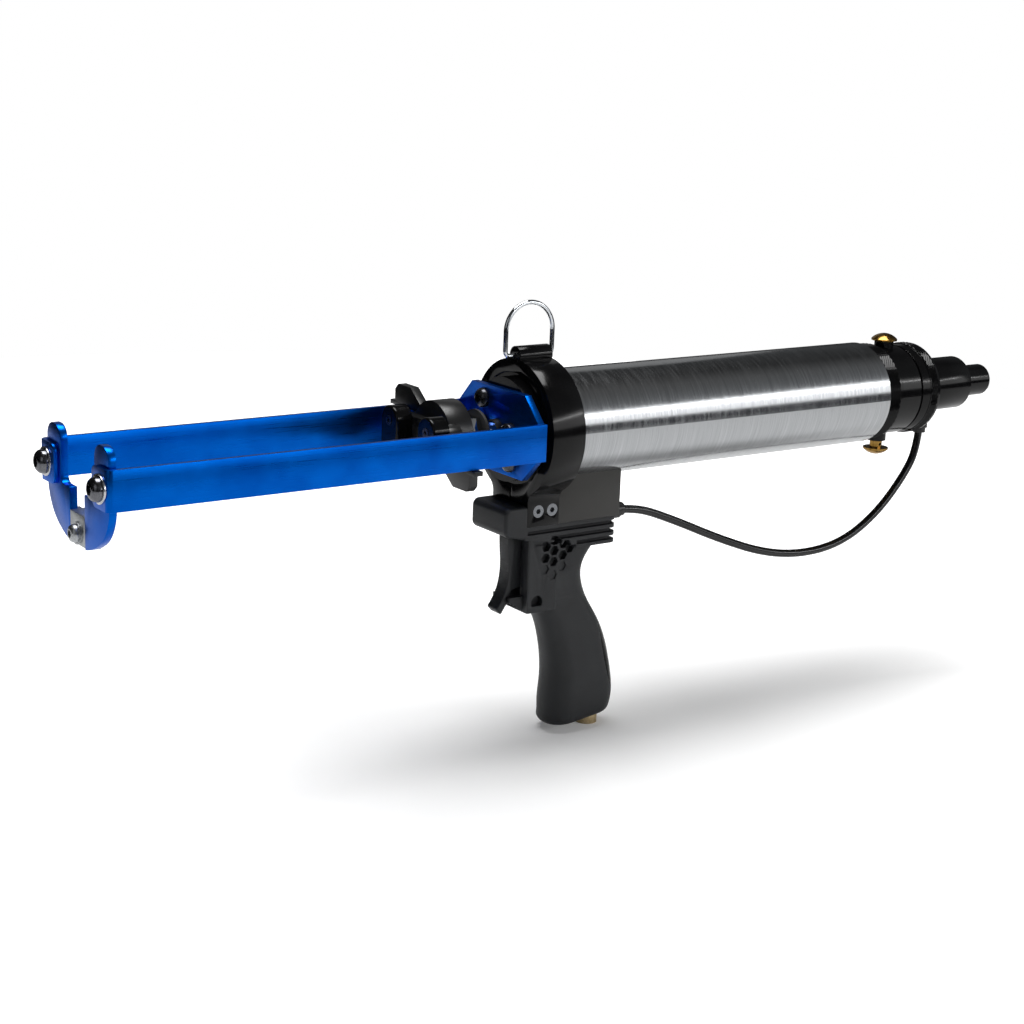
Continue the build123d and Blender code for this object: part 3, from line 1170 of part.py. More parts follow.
# ------------------------------------------------ hose and its fittings
front_port = Plane(origin=(VALVE_REAR, 0, PORT_Z), x_dir=(0, 1, 0), z_dir=(-1, 0, 0))
rear_port = Plane(origin=(REAR_FITTING_X, 0, SPOT_Z), x_dir=(1, 0, 0), z_dir=(0, 0, -1))
for port, end_name in ((front_port, "front"), (rear_port, "rear")):
    with BuildPart() as fitting:
        with BuildSketch(port):
            Circle(FITTING_R)
        extrude(amount=FITTING_L)
        with BuildSketch(port):
            Circle(STUD_R)
        extrude(amount=-STUD_L)
        bores(port.offset(FITTING_L - HOSE_SEAT), [(0, 0)], HOSE_R + SEAT_GAP, HOSE_SEAT)
        bores(port.offset(-STUD_L), [(0, 0)], HOSE_R - HOSE_WALL, STUD_L + FITTING_L - HOSE_SEAT)
    fitting.part.label = f"{end_name}_hose_fitting"
    export_step(fitting.part, f"parts/{end_name}_hose_fitting.step")
    with BuildPart() as release_collar:
        with BuildSketch(port.offset(FITTING_L)):
            Circle(RELEASE_R)
            Circle(HOSE_R + SEAT_GAP, mode=Mode.SUBTRACT)
        extrude(amount=RELEASE_L)
    release_collar.part.label = f"{end_name}_release_collar"
    export_step(release_collar.part, f"parts/{end_name}_release_collar.step")

points = [Vector(x, 0, z) for x, z in HOSE_RUNS]
runs = [after - before for before, after in zip(points, points[1:])]
bend_radii = []
for run_in, run_out in zip(runs, runs[1:]):
    half_turn = math.radians(run_in.get_angle(run_out)) / 2.0
    bend_radii.append(BEND_SHARE * min(run_in.length, run_out.length) / math.tan(half_turn))
print("hose bend radii, mm:", [round(radius, 1) for radius in bend_radii])

with BuildPart() as air_hose:
    with BuildLine() as hose_path:
        FilletPolyline(*points, radius=bend_radii)
    with BuildSketch(Plane(origin=points[0], z_dir=runs[0])):
        Circle(HOSE_R)
    sweep(path=hose_path.wire())
air_hose.part.label = "air_hose"
export_step(air_hose.part, "parts/air_hose.step")
print("hose length, mm:", round(hose_path.wire().length, 1))
print("hose volume over section times length:",
      round(air_hose.part.volume / (math.pi * HOSE_R**2 * hose_path.wire().length), 4))
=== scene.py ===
"""Looks of a pneumatic twin-cartridge caulking gun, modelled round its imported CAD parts."""
import json
import math

import bpy
from mathutils import Matrix, Vector

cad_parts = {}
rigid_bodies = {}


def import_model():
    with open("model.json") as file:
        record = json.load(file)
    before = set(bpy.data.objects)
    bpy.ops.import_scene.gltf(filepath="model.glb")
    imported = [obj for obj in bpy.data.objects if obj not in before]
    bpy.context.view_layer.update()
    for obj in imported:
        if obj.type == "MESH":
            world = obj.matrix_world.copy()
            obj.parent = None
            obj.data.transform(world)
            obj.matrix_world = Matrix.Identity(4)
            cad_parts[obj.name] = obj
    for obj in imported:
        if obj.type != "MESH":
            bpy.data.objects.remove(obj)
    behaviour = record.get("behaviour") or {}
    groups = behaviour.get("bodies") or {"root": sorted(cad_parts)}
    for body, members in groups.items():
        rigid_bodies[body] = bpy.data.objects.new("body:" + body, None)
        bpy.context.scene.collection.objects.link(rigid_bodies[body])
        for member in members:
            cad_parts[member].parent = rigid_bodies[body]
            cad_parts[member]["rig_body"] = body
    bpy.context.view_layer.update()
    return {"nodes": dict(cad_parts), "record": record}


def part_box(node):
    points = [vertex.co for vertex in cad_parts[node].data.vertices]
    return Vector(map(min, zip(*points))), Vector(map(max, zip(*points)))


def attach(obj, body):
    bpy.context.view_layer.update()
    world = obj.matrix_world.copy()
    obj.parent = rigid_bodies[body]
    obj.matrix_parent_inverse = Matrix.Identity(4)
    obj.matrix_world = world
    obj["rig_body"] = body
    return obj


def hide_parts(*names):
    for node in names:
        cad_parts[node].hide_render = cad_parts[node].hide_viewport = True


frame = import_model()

bl_info = {
    "name": "Pneumatic caulking gun",
    "version": (1, 0, 0),
    "blender": (4, 5, 0),
    "location": "View3D > Sidebar > Gun",
    "description": "Models the visible pieces of a twin-cartridge caulking gun round its CAD frame",
    "category": "Object",
}

NODES = frame["nodes"]
MM = 0.001
WHITE = (1.0, 1.0, 1.0, 1.0)
FLOOR_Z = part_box("air_inlet")[0].z
MIDDLE = (-0.05, 0.0, 0.0)      # the gun's middle, along its drive axis
LOCK_LOW, LOCK_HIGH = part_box("lock_ring")
CAP_LOW, CAP_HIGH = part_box("end_cap")
# a Mix node's two colours going in, and its colour coming out
MIX_FIRST, MIX_SECOND, MIX_RESULT = 6, 7, 2
# most of a noise pattern's values lie between these
NOISE_LOW, NOISE_HIGH = 0.3, 0.7


# ---------------------------------------------------------------- colours and nodes
def linear(code):
    """Turns an sRGB hex code into linear red, green and blue."""
    parts = [int(code[i:i + 2], 16) / 255.0 for i in (1, 3, 5)]
    return tuple(c / 12.92 if c <= 0.04045 else ((c + 0.055) / 1.055) ** 2.4 for c in parts)


def rgba(code):
    """The same with an opaque alpha."""
    return (*linear(code), 1.0)


def add_node(tree, kind, settings=None, inputs=None):
    """Adds a node; a socket given as an input is linked, and anything else is set on it."""
    node = tree.nodes.new(kind)
    for key, value in (settings or {}).items():
        setattr(node, key, value)
    for key, value in (inputs or {}).items():
        socket = node.inputs[key]
        if isinstance(value, bpy.types.NodeSocket):
            tree.links.new(value, socket)
        else:
            socket.default_value = value
    return node


def new_finish(name, **sockets):
    """A new material with constants set on its shader's own sockets."""
    finish = bpy.data.materials.new(name)
    finish.use_nodes = True
    tree = finish.node_tree
    shader = tree.nodes["Principled BSDF"]
    for key, value in sockets.items():
        shader.inputs[key.replace("_", " ")].default_value = value
    return finish, tree, shader


def noise(tree, size_mm, stretch=(1.0, 1.0, 1.0), detail=2.0):
    """Noise whose grains are about size_mm across, stretched along the axes."""
    place = add_node(tree, "ShaderNodeTexCoord")
    mapping = add_node(tree, "ShaderNodeMapping", None, {
        "Vector": place.outputs["Object"],
        "Scale": tuple(1.0 / (MM * size_mm * times) for times in stretch),
    })
    return add_node(tree, "ShaderNodeTexNoise", None, {
        "Vector": mapping.outputs["Vector"], "Scale": 1.0, "Detail": detail,
    }).outputs["Fac"]


def tinted(tree, shader, pattern, low, high):
    """Moves a finish's colour between two by a noise pattern."""
    factor = add_node(tree, "ShaderNodeMapRange", None, {
        "Value": pattern, "From Min": NOISE_LOW, "From Max": NOISE_HIGH,
        "To Min": 0.0, "To Max": 1.0,
    })
    mix = add_node(
        tree, "ShaderNodeMix", {"data_type": "RGBA"}, {"Factor": factor.outputs["Result"]})
    mix.inputs[MIX_FIRST].default_value = rgba(low)
    mix.inputs[MIX_SECOND].default_value = rgba(high)
    tree.links.new(mix.outputs[MIX_RESULT], shader.inputs["Base Color"])


def surfaced(tree, shader, polish, rough_low, rough_high, relief, depth_mm, strength):
    """Moves a finish's roughness by one noise pattern, and shapes its surface by another."""
    rough = add_node(tree, "ShaderNodeMapRange", None, {
        "Value": polish, "From Min": NOISE_LOW, "From Max": NOISE_HIGH,
        "To Min": rough_low, "To Max": rough_high,
    })
    tree.links.new(rough.outputs["Result"], shader.inputs["Roughness"])
    bump = add_node(tree, "ShaderNodeBump", None, {
        "Strength": strength, "Distance": MM * depth_mm, "Height": relief,
    })
    tree.links.new(bump.outputs["Normal"], shader.inputs["Normal"])


def blue_anodised():
    """Anodised aluminium: a blue film over brushed metal, bright where it mirrors a light."""
    finish, tree, shader = new_finish("blue_anodised_aluminium", Metallic=1.0)
    lines = noise(tree, 0.5, (60.0, 1.0, 1.0), 3.0)
    tinted(tree, shader, noise(tree, 30.0), "#0050B4", "#0062CC")
    surfaced(tree, shader, lines, 0.26, 0.36, lines, 0.01, 0.25)
    return finish


def brushed_barrel():
    """Drawn aluminium tube polished in a lathe: fine rings round it, with a cloudy polish."""
    finish, tree, shader = new_finish("brushed_barrel_aluminium", Metallic=1.0)
    rings = noise(tree, 0.7, (1.0, 60.0, 60.0), 4.0)
    patches = noise(tree, 5.0, (0.35, 3.0, 3.0))
    tinted(tree, shader, rings, "#A2A4A6", "#BCBEC0")
    surfaced(tree, shader, patches, 0.14, 0.22, rings, 0.01, 0.42)
    return finish


def black_anodised():
    """Black anodised, machined aluminium: sharp highlights and faint tool marks."""
    finish, tree, shader = new_finish(
        "black_anodised_aluminium", Metallic=0.0, Specular_IOR_Level=0.22)
    marks = noise(tree, 0.6, (1.0, 40.0, 40.0), 3.0)
    tinted(tree, shader, noise(tree, 20.0), "#070708", "#0C0C0D")
    surfaced(tree, shader, marks, 0.10, 0.18, marks, 0.01, 0.3)
    return finish


def moulded_nylon():
    """Glass-filled nylon from a spark-eroded mould: charcoal, its grain breaks up highlights."""
    finish, tree, shader = new_finish("moulded_nylon", Metallic=0.0, Specular_IOR_Level=0.42)
    # the real grain is about 0.1 mm; it is drawn at 0.45 mm so that it shows
    grain = noise(tree, 0.45, detail=3.0)
    tinted(tree, shader, noise(tree, 25.0), "#15171A", "#1D1F22")
    surfaced(tree, shader, grain, 0.42, 0.56, grain, 0.03, 0.5)
    return finish


def plain_finish(
        name, low, high, metallic, rough_low, rough_high, grain_mm, stretch=(1.0, 1.0, 1.0),
        depth_mm=0.01, specular=0.5):
    """A finish of one colour with a grain that moves its colour, roughness and surface a little."""
    finish, tree, shader = new_finish(name, Metallic=metallic, Specular_IOR_Level=specular)
    grain = noise(tree, grain_mm, stretch, 3.0)
    tinted(tree, shader, grain, low, high)
    surfaced(tree, shader, grain, rough_low, rough_high, grain, depth_mm, 0.4)
    return finish


FINISHES = {
    "blue_anodised": blue_anodised(),
    "barrel_aluminium": brushed_barrel(),
    "gloss_black": black_anodised(),
    "matte_black": moulded_nylon(),
    # black oxide on steel: dark grey, oily sheen
    "dark_screw": plain_finish(
        "black_oxide_steel", "#3A3A3D", "#54555A", 0.9, 0.20, 0.32, 0.8),
    # bright zinc plate: light grey with a satin mirror
    "bright_washer": plain_finish(
        "bright_zinc_plate", "#B8BABC", "#D6D8DA", 1.0, 0.16, 0.28, 0.8),
    # zinc-plated sheet: grey, duller than the washers
    "zinc_grey": plain_finish(
        "zinc_plated_sheet", "#A4A7AA", "#C4C7CA", 1.0, 0.28, 0.42, 1.2),
    # turned aluminium: pale grey with fine tool rings
    "plain_aluminium": plain_finish(
        "turned_aluminium", "#A9ACAE", "#C9CCCE", 1.0, 0.25, 0.35, 0.7, (1.0, 40.0, 40.0)),
    # nitrile rubber: black and dull
    "seal_rubber": plain_finish(
        "nitrile_rubber", "#141414", "#1C1C1C", 0.0, 0.55, 0.7, 0.6),
    # turned bronze: brown gold with a satin surface
    "bronze": plain_finish(
        "turned_bronze", "#9A6A34", "#B98A4E", 1.0, 0.25, 0.35, 0.7),
    # moulded nylon gland: black and half dull
    "gland_black": plain_finish(
        "moulded_gland", "#111213", "#191A1B", 0.0, 0.4, 0.5, 0.6),
    # hard chrome: bluish mirror
    "rod_chrome": plain_finish(
        "hard_chrome", "#D2D6DA", "#E6EAEE", 1.0, 0.05, 0.10, 4.0, depth_mm=0.004),
    # ground steel: mid grey with a satin surface
    "plain_steel": plain_finish(
        "ground_steel", "#909396", "#AEB1B4", 1.0, 0.25, 0.35, 0.7),
    # turned brass, polished: deep gold
    "spool_brass": plain_finish(
        "polished_brass", "#8C6A2E", "#AD8A4C", 1.0, 0.16, 0.26, 0.8, (30.0, 30.0, 1.0)),
    # raw brass, dull from handling
    "inlet_brass": plain_finish(
        "dull_brass", "#C4AC80", "#DCC8A0", 1.0, 0.30, 0.45, 1.5),
    # moulded hose fitting: black with a soft gloss
    "fitting_black": plain_finish(
        "moulded_fitting", "#101011", "#18181A", 0.0, 0.25, 0.35, 1.0),
    # polyurethane hose: black, extruded smooth, wet-looking
    "hose_black": plain_finish(
        "polyurethane_hose", "#070708", "#0E0E10", 0.0, 0.12, 0.22, 3.0, depth_mm=0.02),
}
# parts whose finish differs from their slot's
SPECIAL_FINISHES = {
    # a blacker moulding with sharper glints
    "plunger_carrier": plain_finish(
        "black_moulded_carrier", "#0A0A0B", "#131314", 0.0, 0.28, 0.38, 0.6),
    # black chrome, which looks smoky
    "front_screws": plain_finish(
        "black_chrome_plate", "#5E5F63", "#7C7D82", 1.0, 0.15, 0.25, 0.8),
    # dark zinc plate: grey and shiny
    "clamp_screws": plain_finish(
        "dark_zinc_plate", "#6C6E72", "#8E9195", 1.0, 0.18, 0.28, 0.8),
    # a casting with satin paint: dark warm grey
    "valve_block": plain_finish(
        "satin_painted_casting", "#211F1D", "#2B2A27", 0.0, 0.36, 0.48, 0.8),
    # polished black moulding
    "grip_back_panel": plain_finish(
        "polished_moulding", "#020202", "#050505", 0.0, 0.22, 0.30, 6.0, specular=0.08),
}
SLOT_OF = {part["node"]: part["material_slot"] for part in frame["record"]["subparts"]}


# ---------------------------------------------------------------- shared modelling steps
WELD_DISTANCE = 0.002 * MM              # points nearer than this are one point
FLAT_ANGLE = math.radians(0.4)          # faces that turn less than this lie in one plane
SHARP_ANGLE = math.radians(40.0)        # edges that turn more than this are broken
SMOOTH_ANGLE = math.radians(32.0)       # edges that turn less than this are shaded smooth


def only(piece):
    """Selects one piece and makes it active."""
    bpy.ops.object.select_all(action="DESELECT")
    piece.select_set(True)
    bpy.context.view_layer.objects.active = piece


def settle(piece, name, slot, body):
    """Puts a piece's place in its mesh, names it, and gives it its body and the finish of its slot,
    or its own finish where it has one.
    """
    only(piece)
    bpy.ops.object.transform_apply(location=True, rotation=True, scale=True)
    piece.name = name
    piece.data.materials.clear()
    piece.data.materials.append(SPECIAL_FINISHES.get(name.removesuffix("_visual"), FINISHES[slot]))
    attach(piece, body)


def merged_copy(node):
    """A copy of a CAD node's mesh, its loose triangles joined and its flat areas made whole."""
    piece = bpy.data.objects.new(node + "_copy", NODES[node].data.copy())
    bpy.context.scene.collection.objects.link(piece)
    only(piece)
    bpy.ops.object.mode_set(mode="EDIT")
    bpy.ops.mesh.select_all(action="SELECT")
    bpy.ops.mesh.remove_doubles(threshold=WELD_DISTANCE)
    bpy.ops.mesh.dissolve_limited(angle_limit=FLAT_ANGLE, use_dissolve_boundaries=False)
    bpy.ops.object.mode_set(mode="OBJECT")
    return piece


def apply_modifier(piece, kind, **settings):
    """Adds a modifier with its settings and applies it."""
    only(piece)
    modifier = piece.modifiers.new(kind.title(), kind)
    for key, value in settings.items():
        setattr(modifier, key, value)
    bpy.ops.object.modifier_apply(modifier=modifier.name)


def break_edges(piece, width_mm, sharp_angle):
    """Rounds a piece's sharp edges, as a machinist breaks them, and smooths its curved faces."""
    apply_modifier(
        piece, "BEVEL", width=MM * width_mm, segments=2, limit_method="ANGLE",
        angle_limit=sharp_angle, miter_outer="MITER_ARC", use_clamp_overlap=True,
    )
    bpy.ops.object.shade_smooth_by_angle(angle=SMOOTH_ANGLE)


# ---------------------------------------------------------------- settings
class GunStageSettings(bpy.types.PropertyGroup):
    camera_place: bpy.props.FloatVectorProperty(
        name="Camera place", description="Where the camera stands", subtype="XYZ",
        unit="LENGTH", default=(0.7335, 1.0581, 0.2671))
    azimuth: bpy.props.FloatProperty(
        name="Azimuth", description="Direction that the camera looks from", subtype="ANGLE",
        default=math.radians(144.72))
    elevation: bpy.props.FloatProperty(
        name="Elevation", description="Height of the camera above the horizon", subtype="ANGLE",
        default=math.radians(14.11))
    roll: bpy.props.FloatProperty(
        name="Roll", description="Tilt of the camera about its own line of sight", subtype="ANGLE",
        default=math.radians(2.11))
    lens: bpy.props.FloatProperty(
        name="Lens", description="Focal length", subtype="DISTANCE_CAMERA", default=68.75)
    floor_radius: bpy.props.FloatProperty(
        name="Floor radius", description="Size of the round floor", unit="LENGTH", default=1.6)
    floor_colour: bpy.props.FloatVectorProperty(
        name="Floor colour", description="Colour of the floor", subtype="COLOR",
        default=linear("#F6F6F6"))


class AirHoseSettings(bpy.types.PropertyGroup):
    diameter: bpy.props.FloatProperty(
        name="Hose diameter", description="Outside diameter of the air hose", unit="LENGTH",
        default=0.006)


class KnurlSettings(bpy.types.PropertyGroup):
    pitch: bpy.props.FloatProperty(
        name="Knurl pitch", description="Distance from one knurl ridge to the next",
        unit="LENGTH", default=0.0021)
    depth: bpy.props.FloatProperty(
        name="Knurl depth", description="Depth of the knurl", unit="LENGTH", default=0.0006)


class HoneycombSettings(bpy.types.PropertyGroup):
    cell: bpy.props.FloatProperty(
        name="Cell size", description="Distance across a honeycomb cell's flats",
        unit="LENGTH", default=0.0066)
    floor_y: bpy.props.FloatProperty(
        name="Cell floor", description="Distance of the cells' floors from the centre plane",
        unit="LENGTH", default=0.0122)
    fade: bpy.props.FloatProperty(
        name="Cell fade", description="How much shallower the lower cells are",
        unit="LENGTH", default=0.0026)


# ---------------------------------------------------------------- stage
# each light: its name, place, target, width, height and power
LIGHTS = (
    ("key_softbox", (-1.25, 1.80, 0.50), MIDDLE, 2.4, 0.72, 9.5),
    ("strip_softbox", (-1.20, 1.70, 0.66), MIDDLE, 1.9, 0.05, 5.0),
    ("top_softbox", (-0.1, -0.2, 2.2), MIDDLE, 1.8, 1.2, 58.0),
    ("front_softbox", (2.2, 0.9, 0.9), (0.0, 0.0, 0.0), 1.0, 1.4, 2.0),
    ("back_softbox", (-0.9, -2.0, 0.9), MIDDLE, 2.0, 1.0, 1.5),
)
# the room's brightness by height: how far up it lies, and its colour
ROOM_BOTTOM = (0.0, (0.04, 0.04, 0.045, 1.0))
ROOM_WALLS = (0.35, (0.24, 0.25, 0.26, 1.0))
ROOM_TOP = (0.95, (0.06, 0.055, 0.05, 1.0))


class GUN_OT_stage(bpy.types.Operator):
    """Adds the camera, the floor, the lights and the studio's surroundings"""
    bl_idname = "gun.stage"
    bl_label = "Stage"

    def execute(self, context):
        settings = context.scene.gun_stage
        azimuth, elevation, roll = settings.azimuth, settings.elevation, settings.roll
        back = Vector((
            math.sin(azimuth) * math.cos(elevation),
            -math.cos(azimuth) * math.cos(elevation),
            math.sin(elevation),
        ))
        level = Vector((0.0, 0.0, 1.0)).cross(back).normalized()
        upright = back.cross(level)
        right = math.cos(roll) * level + math.sin(roll) * upright
        up = -math.sin(roll) * level + math.cos(roll) * upright
        bpy.ops.object.camera_add(location=settings.camera_place)
        camera = context.object
        camera.name = "studio_camera"
        turn = Matrix((right, up, back)).transposed()
        camera.matrix_world = Matrix.Translation(settings.camera_place) @ turn.to_4x4()
        camera.data.lens = settings.lens
        camera.data.sensor_width = 36.0
        camera.data.clip_start = 0.01
        context.scene.camera = camera

        bpy.ops.mesh.primitive_circle_add(
            vertices=128, radius=settings.floor_radius, fill_type="NGON",
            location=(MIDDLE[0], MIDDLE[1], FLOOR_Z))
        floor = context.object
        floor.name = "studio_floor"
        paper, tree, shader = new_finish("studio_paper", Roughness=0.9, Specular_IOR_Level=0.1)
        shader.inputs["Base Color"].default_value = (*settings.floor_colour, 1.0)
        # seen directly, the paper brightens with its distance from the gun, into the white room
        spot = add_node(tree, "ShaderNodeTexCoord")
        reach = add_node(tree, "ShaderNodeVectorMath", {"operation": "LENGTH"}, {
            "Vector": spot.outputs["Object"],
        })
        fade = add_node(tree, "ShaderNodeMapRange", None, {
            "Value": reach.outputs["Value"], "From Min": 0.15, "From Max": 0.8,
            "To Min": 0.12, "To Max": 0.8,
        })
        direct = add_node(tree, "ShaderNodeLightPath")
        glow = add_node(tree, "ShaderNodeMath", {"operation": "MULTIPLY"})
        tree.links.new(fade.outputs["Result"], glow.inputs[0])
        tree.links.new(direct.outputs["Is Camera Ray"], glow.inputs[1])
        tree.links.new(glow.outputs["Value"], shader.inputs["Emission Strength"])
        shader.inputs["Emission Color"].default_value = WHITE
        floor.data.materials.append(paper)

        for name, place, target, width, height, power in LIGHTS:
            bpy.ops.object.light_add(type="AREA", location=place)
            light = context.object
            light.name = name
            light.data.shape = "RECTANGLE"
            light.data.size = width
            light.data.size_y = height
            light.data.energy = power
            aim = Vector(target) - Vector(place)
            light.rotation_euler = aim.to_track_quat("-Z", "Y").to_euler()

        world = bpy.data.worlds.new("studio")
        context.scene.world = world
        world.use_nodes = True
        tree = world.node_tree
        surface = tree.nodes["Background"]
        place = add_node(tree, "ShaderNodeTexCoord")
        look = add_node(tree, "ShaderNodeSeparateXYZ", None, {"Vector": place.outputs["Generated"]})
        ramp = add_node(tree, "ShaderNodeValToRGB", None, {"Fac": look.outputs["Z"]})
        bands = ramp.color_ramp.elements
        bands[0].position, bands[0].color = ROOM_BOTTOM
        bands[1].position, bands[1].color = ROOM_TOP
        bands.new(ROOM_WALLS[0]).color = ROOM_WALLS[1]
        # the room is darker on the gun's right side and ahead of its nose
        beside = add_node(tree, "ShaderNodeMapRange", None, {
            "Value": look.outputs["Y"], "From Min": -0.15, "From Max": 0.2,
            "To Min": 0.25, "To Max": 1.0,
        })
        ahead = add_node(tree, "ShaderNodeMapRange", None, {
            "Value": look.outputs["X"], "From Min": -0.2, "From Max": 0.5,
            "To Min": 1.0, "To Max": 0.4,
        })
        dimming = add_node(tree, "ShaderNodeMath", {"operation": "MULTIPLY"})
        tree.links.new(beside.outputs["Result"], dimming.inputs[0])
        tree.links.new(ahead.outputs["Result"], dimming.inputs[1])
        room = add_node(tree, "ShaderNodeVectorMath", {"operation": "SCALE"}, {
            "Vector": ramp.outputs["Color"], "Scale": dimming.outputs["Value"],
        })
        # seen directly, the room is white
        seen = add_node(tree, "ShaderNodeLightPath")
        backdrop = add_node(tree, "ShaderNodeMix", {"data_type": "RGBA"}, {
            "Factor": seen.outputs["Is Camera Ray"],
        })
        tree.links.new(room.outputs["Vector"], backdrop.inputs[MIX_FIRST])
        backdrop.inputs[MIX_SECOND].default_value = WHITE
        tree.links.new(backdrop.outputs[MIX_RESULT], surface.inputs["Color"])
        context.scene.view_settings.view_transform = "Standard"
        return {"FINISHED"}


# ---------------------------------------------------------------- air hose
# the curve's control points, from the valve block to the regulator
HOSE_ROUTE = (
    (-0.1000, 0.0, -0.0670), (-0.1220, 0.0, -0.0670), (-0.1580, 0.0, -0.0805),
    (-0.2060, 0.0, -0.1015), (-0.2520, 0.0, -0.1180), (-0.2940, 0.0, -0.1235),
    (-0.3330, 0.0, -0.1185), (-0.3660, 0.0, -0.1005), (-0.3910, 0.0, -0.0760),
    (-0.4070, 0.0, -0.0520), (-0.4070, 0.0, -0.0276),
)


class GUN_OT_air_hose(bpy.types.Operator):
    """Adds the air hose from the valve block to the regulator"""
    bl_idname = "gun.air_hose"
    bl_label = "Air hose"

    def execute(self, context):
        settings = context.scene.gun_hose
        curve = bpy.data.curves.new("air_hose_line", "CURVE")
        curve.dimensions = "3D"
        spline = curve.splines.new("NURBS")
        spline.points.add(len(HOSE_ROUTE) - 1)
        for point, place in zip(spline.points, HOSE_ROUTE):
            point.co = (*place, 1.0)
        spline.order_u = 3
        spline.use_endpoint_u = True
        spline.resolution_u = 16
        curve.bevel_depth = settings.diameter / 2.0
        curve.bevel_resolution = 6
        curve.use_fill_caps = True
        hose = bpy.data.objects.new("air_hose_visual", curve)
        context.scene.collection.objects.link(hose)
        curve.materials.append(FINISHES["hose_black"])
        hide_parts("air_hose")
        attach(hose, "gun_body")
        return {"FINISHED"}


# ---------------------------------------------------------------- CAD nodes that keep their shape
class GUN_OT_finishes(bpy.types.Operator):
    """Gives every CAD part its finish"""
    bl_idname = "gun.finishes"
    bl_label = "Finishes"

    def execute(self, context):
        for name, node in NODES.items():
            node.data.materials.clear()
            node.data.materials.append(SPECIAL_FINISHES.get(name, FINISHES[SLOT_OF[name]]))
        return {"FINISHED"}


# ---------------------------------------------------------------- pieces with broken edges
# each part, and the width of its broken edges in millimetres
BROKEN_EDGES = (
    ("left_rail", 0.35), ("right_rail", 0.35), ("front_plate", 0.45), ("thrust_plate", 0.45),
    ("clamp_ring", 0.5), ("valve_block", 0.7), ("plunger_carrier", 0.9), ("trigger", 1.0),
    ("nozzle_locator", 0.4), ("front_screw_washers", 0.25), ("end_cap", 0.6),
    ("regulator_body", 0.5), ("rod_nut", 0.5), ("grip_back_panel", 0.6),
)


class GUN_OT_broken_edges(bpy.types.Operator):
    """Models the machined and moulded pieces with rounded edges"""
    bl_idname = "gun.broken_edges"
    bl_label = "Machined pieces"

    def execute(self, context):
        for node, width_mm in BROKEN_EDGES:
            piece = merged_copy(node)
            break_edges(piece, width_mm, SHARP_ANGLE)
            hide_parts(node)
            settle(piece, node + "_visual", SLOT_OF[node], NODES[node]["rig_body"])
        return {"FINISHED"}


# ---------------------------------------------------------------- knurled bands
GROOVE_HEIGHT = 0.1     # the grooves' height above the ring, as a share of the knurl's depth
BAND_WALL = 0.6         # the band's wall, as a share of the knurl's depth
# each band: its name, its two ends along the gun, and the radius that it stands on
KNURLED_BANDS = (
    ("lock_ring_knurl", LOCK_LOW.x + 0.0010, LOCK_HIGH.x - 0.0010, LOCK_HIGH.z),
    ("end_cap_knurl", CAP_LOW.x + 0.0015, CAP_LOW.x + 0.0100, CAP_HIGH.z),
)


def draw_in(band, chosen, factor, start_x):
    """Moves a band's chosen points towards the drive axis."""
    bpy.ops.object.mode_set(mode="EDIT")
    bpy.ops.mesh.select_mode(type="VERT")
    bpy.ops.mesh.select_all(action="DESELECT")
    bpy.ops.object.mode_set(mode="OBJECT")
    for point in band.data.vertices:
        point.select = chosen(point.co)
    bpy.ops.object.mode_set(mode="EDIT")
    bpy.ops.transform.resize(value=(1.0, factor, factor), center_override=(start_x, 0.0, 0.0))
    bpy.ops.object.mode_set(mode="OBJECT")


def knurled_band(name, start_x, end_x, radius, pitch, depth):
    """A band round the drive axis whose pyramids stand proud of radius, with closed ends."""
    columns = 2 * round(math.pi * radius / pitch)
    rows = 2 * round((end_x - start_x) / pitch)
    step = (end_x - start_x) / rows
    turn = 2.0 * math.pi / columns
    bpy.ops.object.select_all(action="DESELECT")
    bpy.ops.mesh.primitive_circle_add(
        vertices=columns, radius=radius + depth, location=(start_x, 0.0, 0.0),
        rotation=(0.0, math.pi / 2.0, 0.0))
    band = bpy.context.object
    bpy.ops.object.transform_apply(location=True, rotation=True, scale=True)
    bpy.ops.object.mode_set(mode="EDIT")
    bpy.ops.mesh.select_all(action="SELECT")
    for _ in range(rows):
        bpy.ops.mesh.extrude_region_move(TRANSFORM_OT_translate={"value": (step, 0.0, 0.0)})
    bpy.ops.object.mode_set(mode="OBJECT")

    def row_of(place):
        return round((place.x - start_x) / step)

    def in_groove(place):
        row, column = row_of(place), round(math.atan2(place.z, place.y) / turn)
        return (row + column) % 2 == 1 and 0 < row < rows

    def at_end(place):
        return row_of(place) in (0, rows)

    draw_in(band, in_groove, (radius + GROOVE_HEIGHT * depth) / (radius + depth), start_x)
    draw_in(band, at_end, (radius - depth) / (radius + depth), start_x)
    bpy.ops.object.mode_set(mode="EDIT")
    bpy.ops.mesh.select_all(action="SELECT")
    bpy.ops.mesh.normals_make_consistent(inside=False)
    bpy.ops.object.mode_set(mode="OBJECT")
    apply_modifier(band, "SOLIDIFY", thickness=BAND_WALL * depth, offset=-1.0)
    settle(band, name, "gloss_black", "gun_body")


class GUN_OT_knurls(bpy.types.Operator):
    """Adds the knurled bands round the lock ring and the end cap"""
    bl_idname = "gun.knurls"
    bl_label = "Knurled bands"

    def execute(self, context):
        settings = context.scene.gun_knurl
        for name, start_x, end_x, radius in KNURLED_BANDS:
            knurled_band(name, start_x, end_x, radius, settings.pitch, settings.depth)
        return {"FINISHED"}


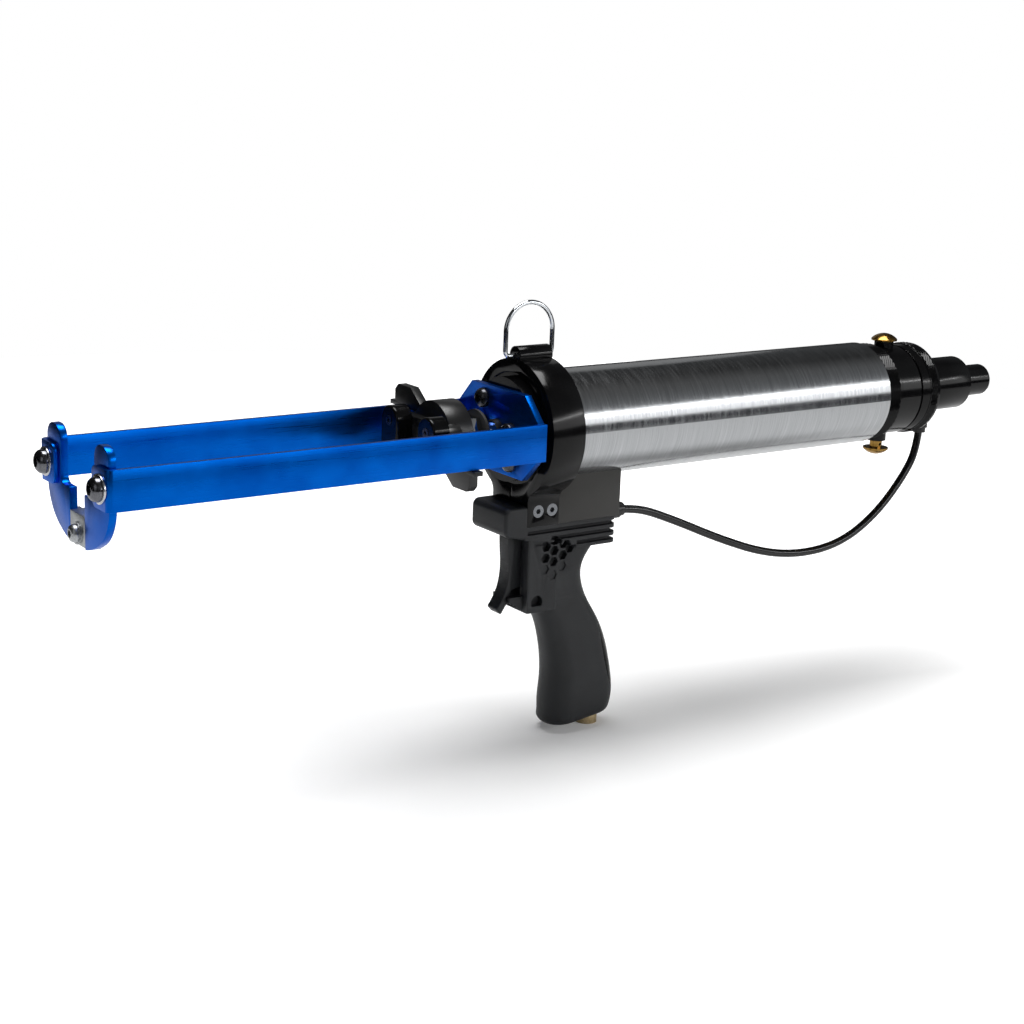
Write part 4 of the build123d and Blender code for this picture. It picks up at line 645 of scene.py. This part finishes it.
# ---------------------------------------------------------------- handle
# each column of cells: its place along the gun, and its cells' heights
CELL_COLUMNS = (
    (-0.0330, (-0.0816, -0.0898, -0.0980)),
    (-0.0400, (-0.0775, -0.0851, -0.0931, -0.1027)),
    (-0.0475, (-0.0808, -0.0892, -0.0972)),
    (-0.0530, (-0.0848,)),
)
CELL_FADE_Z = -0.0945       # the cells below this are shallower
CUTTER_LENGTH = 0.0100      # how far a cutter reaches out from the floor that it leaves
# half-moon recess low on each side of the trigger's housing
RECESS_X, RECESS_Z, RECESS_R = -0.0275, -0.1208, 0.0048
RECESS_SILL = -0.1236       # height of its flat lower edge
RECESS_FLOOR = 0.0105       # distance of its floor from the centre plane
HANDLE_EDGE_MM = 0.45
HANDLE_SHARP_ANGLE = math.radians(45.0)


class GUN_OT_handle(bpy.types.Operator):
    """Models the moulded handle, with its honeycomb grip pattern and finger recess"""
    bl_idname = "gun.handle"
    bl_label = "Handle"

    def execute(self, context):
        settings = context.scene.gun_honeycomb
        handle = merged_copy("handle")
        bpy.ops.object.select_all(action="DESELECT")
        cutters = []
        for side in (-1.0, 1.0):
            for cell_x, heights in CELL_COLUMNS:
                for cell_z in heights:
                    floor_y = settings.floor_y + (settings.fade if cell_z < CELL_FADE_Z else 0.0)
                    bpy.ops.mesh.primitive_cylinder_add(
                        vertices=6, radius=settings.cell / math.sqrt(3.0), depth=CUTTER_LENGTH,
                        location=(cell_x, side * (floor_y + CUTTER_LENGTH / 2.0), cell_z),
                        rotation=(math.pi / 2.0, math.pi / 2.0, 0.0))
                    cutters.append(bpy.context.object)
            bpy.ops.object.select_all(action="DESELECT")
            bpy.ops.mesh.primitive_cylinder_add(
                vertices=40, radius=RECESS_R, depth=CUTTER_LENGTH,
                location=(RECESS_X, side * (RECESS_FLOOR + CUTTER_LENGTH / 2.0), RECESS_Z),
                rotation=(math.pi / 2.0, 0.0, 0.0))
            bpy.ops.object.mode_set(mode="EDIT")
            bpy.ops.mesh.select_all(action="SELECT")
            bpy.ops.mesh.bisect(
                plane_co=(0.0, 0.0, RECESS_SILL), plane_no=(0.0, 0.0, 1.0),
                use_fill=True, clear_inner=True)
            bpy.ops.object.mode_set(mode="OBJECT")
            cutters.append(bpy.context.object)
        bpy.ops.object.select_all(action="DESELECT")
        for cutter in cutters:
            cutter.select_set(True)
        bpy.context.view_layer.objects.active = cutters[0]
        bpy.ops.object.join()
        joined = bpy.context.object
        apply_modifier(handle, "BOOLEAN", object=joined, operation="DIFFERENCE", solver="EXACT")
        bpy.data.objects.remove(joined, do_unlink=True)
        break_edges(handle, HANDLE_EDGE_MM, HANDLE_SHARP_ANGLE)
        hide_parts("handle")
        settle(handle, "handle_visual", SLOT_OF["handle"], NODES["handle"]["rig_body"])
        return {"FINISHED"}


# ---------------------------------------------------------------- panel
SETTINGS = (
    ("gun_stage", GunStageSettings), ("gun_hose", AirHoseSettings), ("gun_knurl", KnurlSettings),
    ("gun_honeycomb", HoneycombSettings),
)
STEPS = (
    GUN_OT_stage, GUN_OT_air_hose, GUN_OT_finishes, GUN_OT_broken_edges, GUN_OT_knurls,
    GUN_OT_handle,
)


class GUN_PT_panel(bpy.types.Panel):
    """Lists the gun's sizes and the pieces that can be added"""
    bl_label = "Pneumatic caulking gun"
    bl_idname = "GUN_PT_panel"
    bl_space_type = "VIEW_3D"
    bl_region_type = "UI"
    bl_category = "Gun"

    def draw(self, context):
        for name, group in SETTINGS:
            for key in group.__annotations__:
                self.layout.prop(getattr(context.scene, name), key)
        for step in STEPS:
            self.layout.operator(step.bl_idname)


CLASSES = (*(group for _, group in SETTINGS), *STEPS, GUN_PT_panel)


def register():
    for item in CLASSES:
        bpy.utils.register_class(item)
    for name, group in SETTINGS:
        setattr(bpy.types.Scene, name, bpy.props.PointerProperty(type=group))


def unregister():
    for name, _ in SETTINGS:
        delattr(bpy.types.Scene, name)
    for item in reversed(CLASSES):
        bpy.utils.unregister_class(item)


def main():
    register()
    for step in STEPS:
        group, name = step.bl_idname.split(".")
        getattr(getattr(bpy.ops, group), name)()


if __name__ == "__main__":
    main()
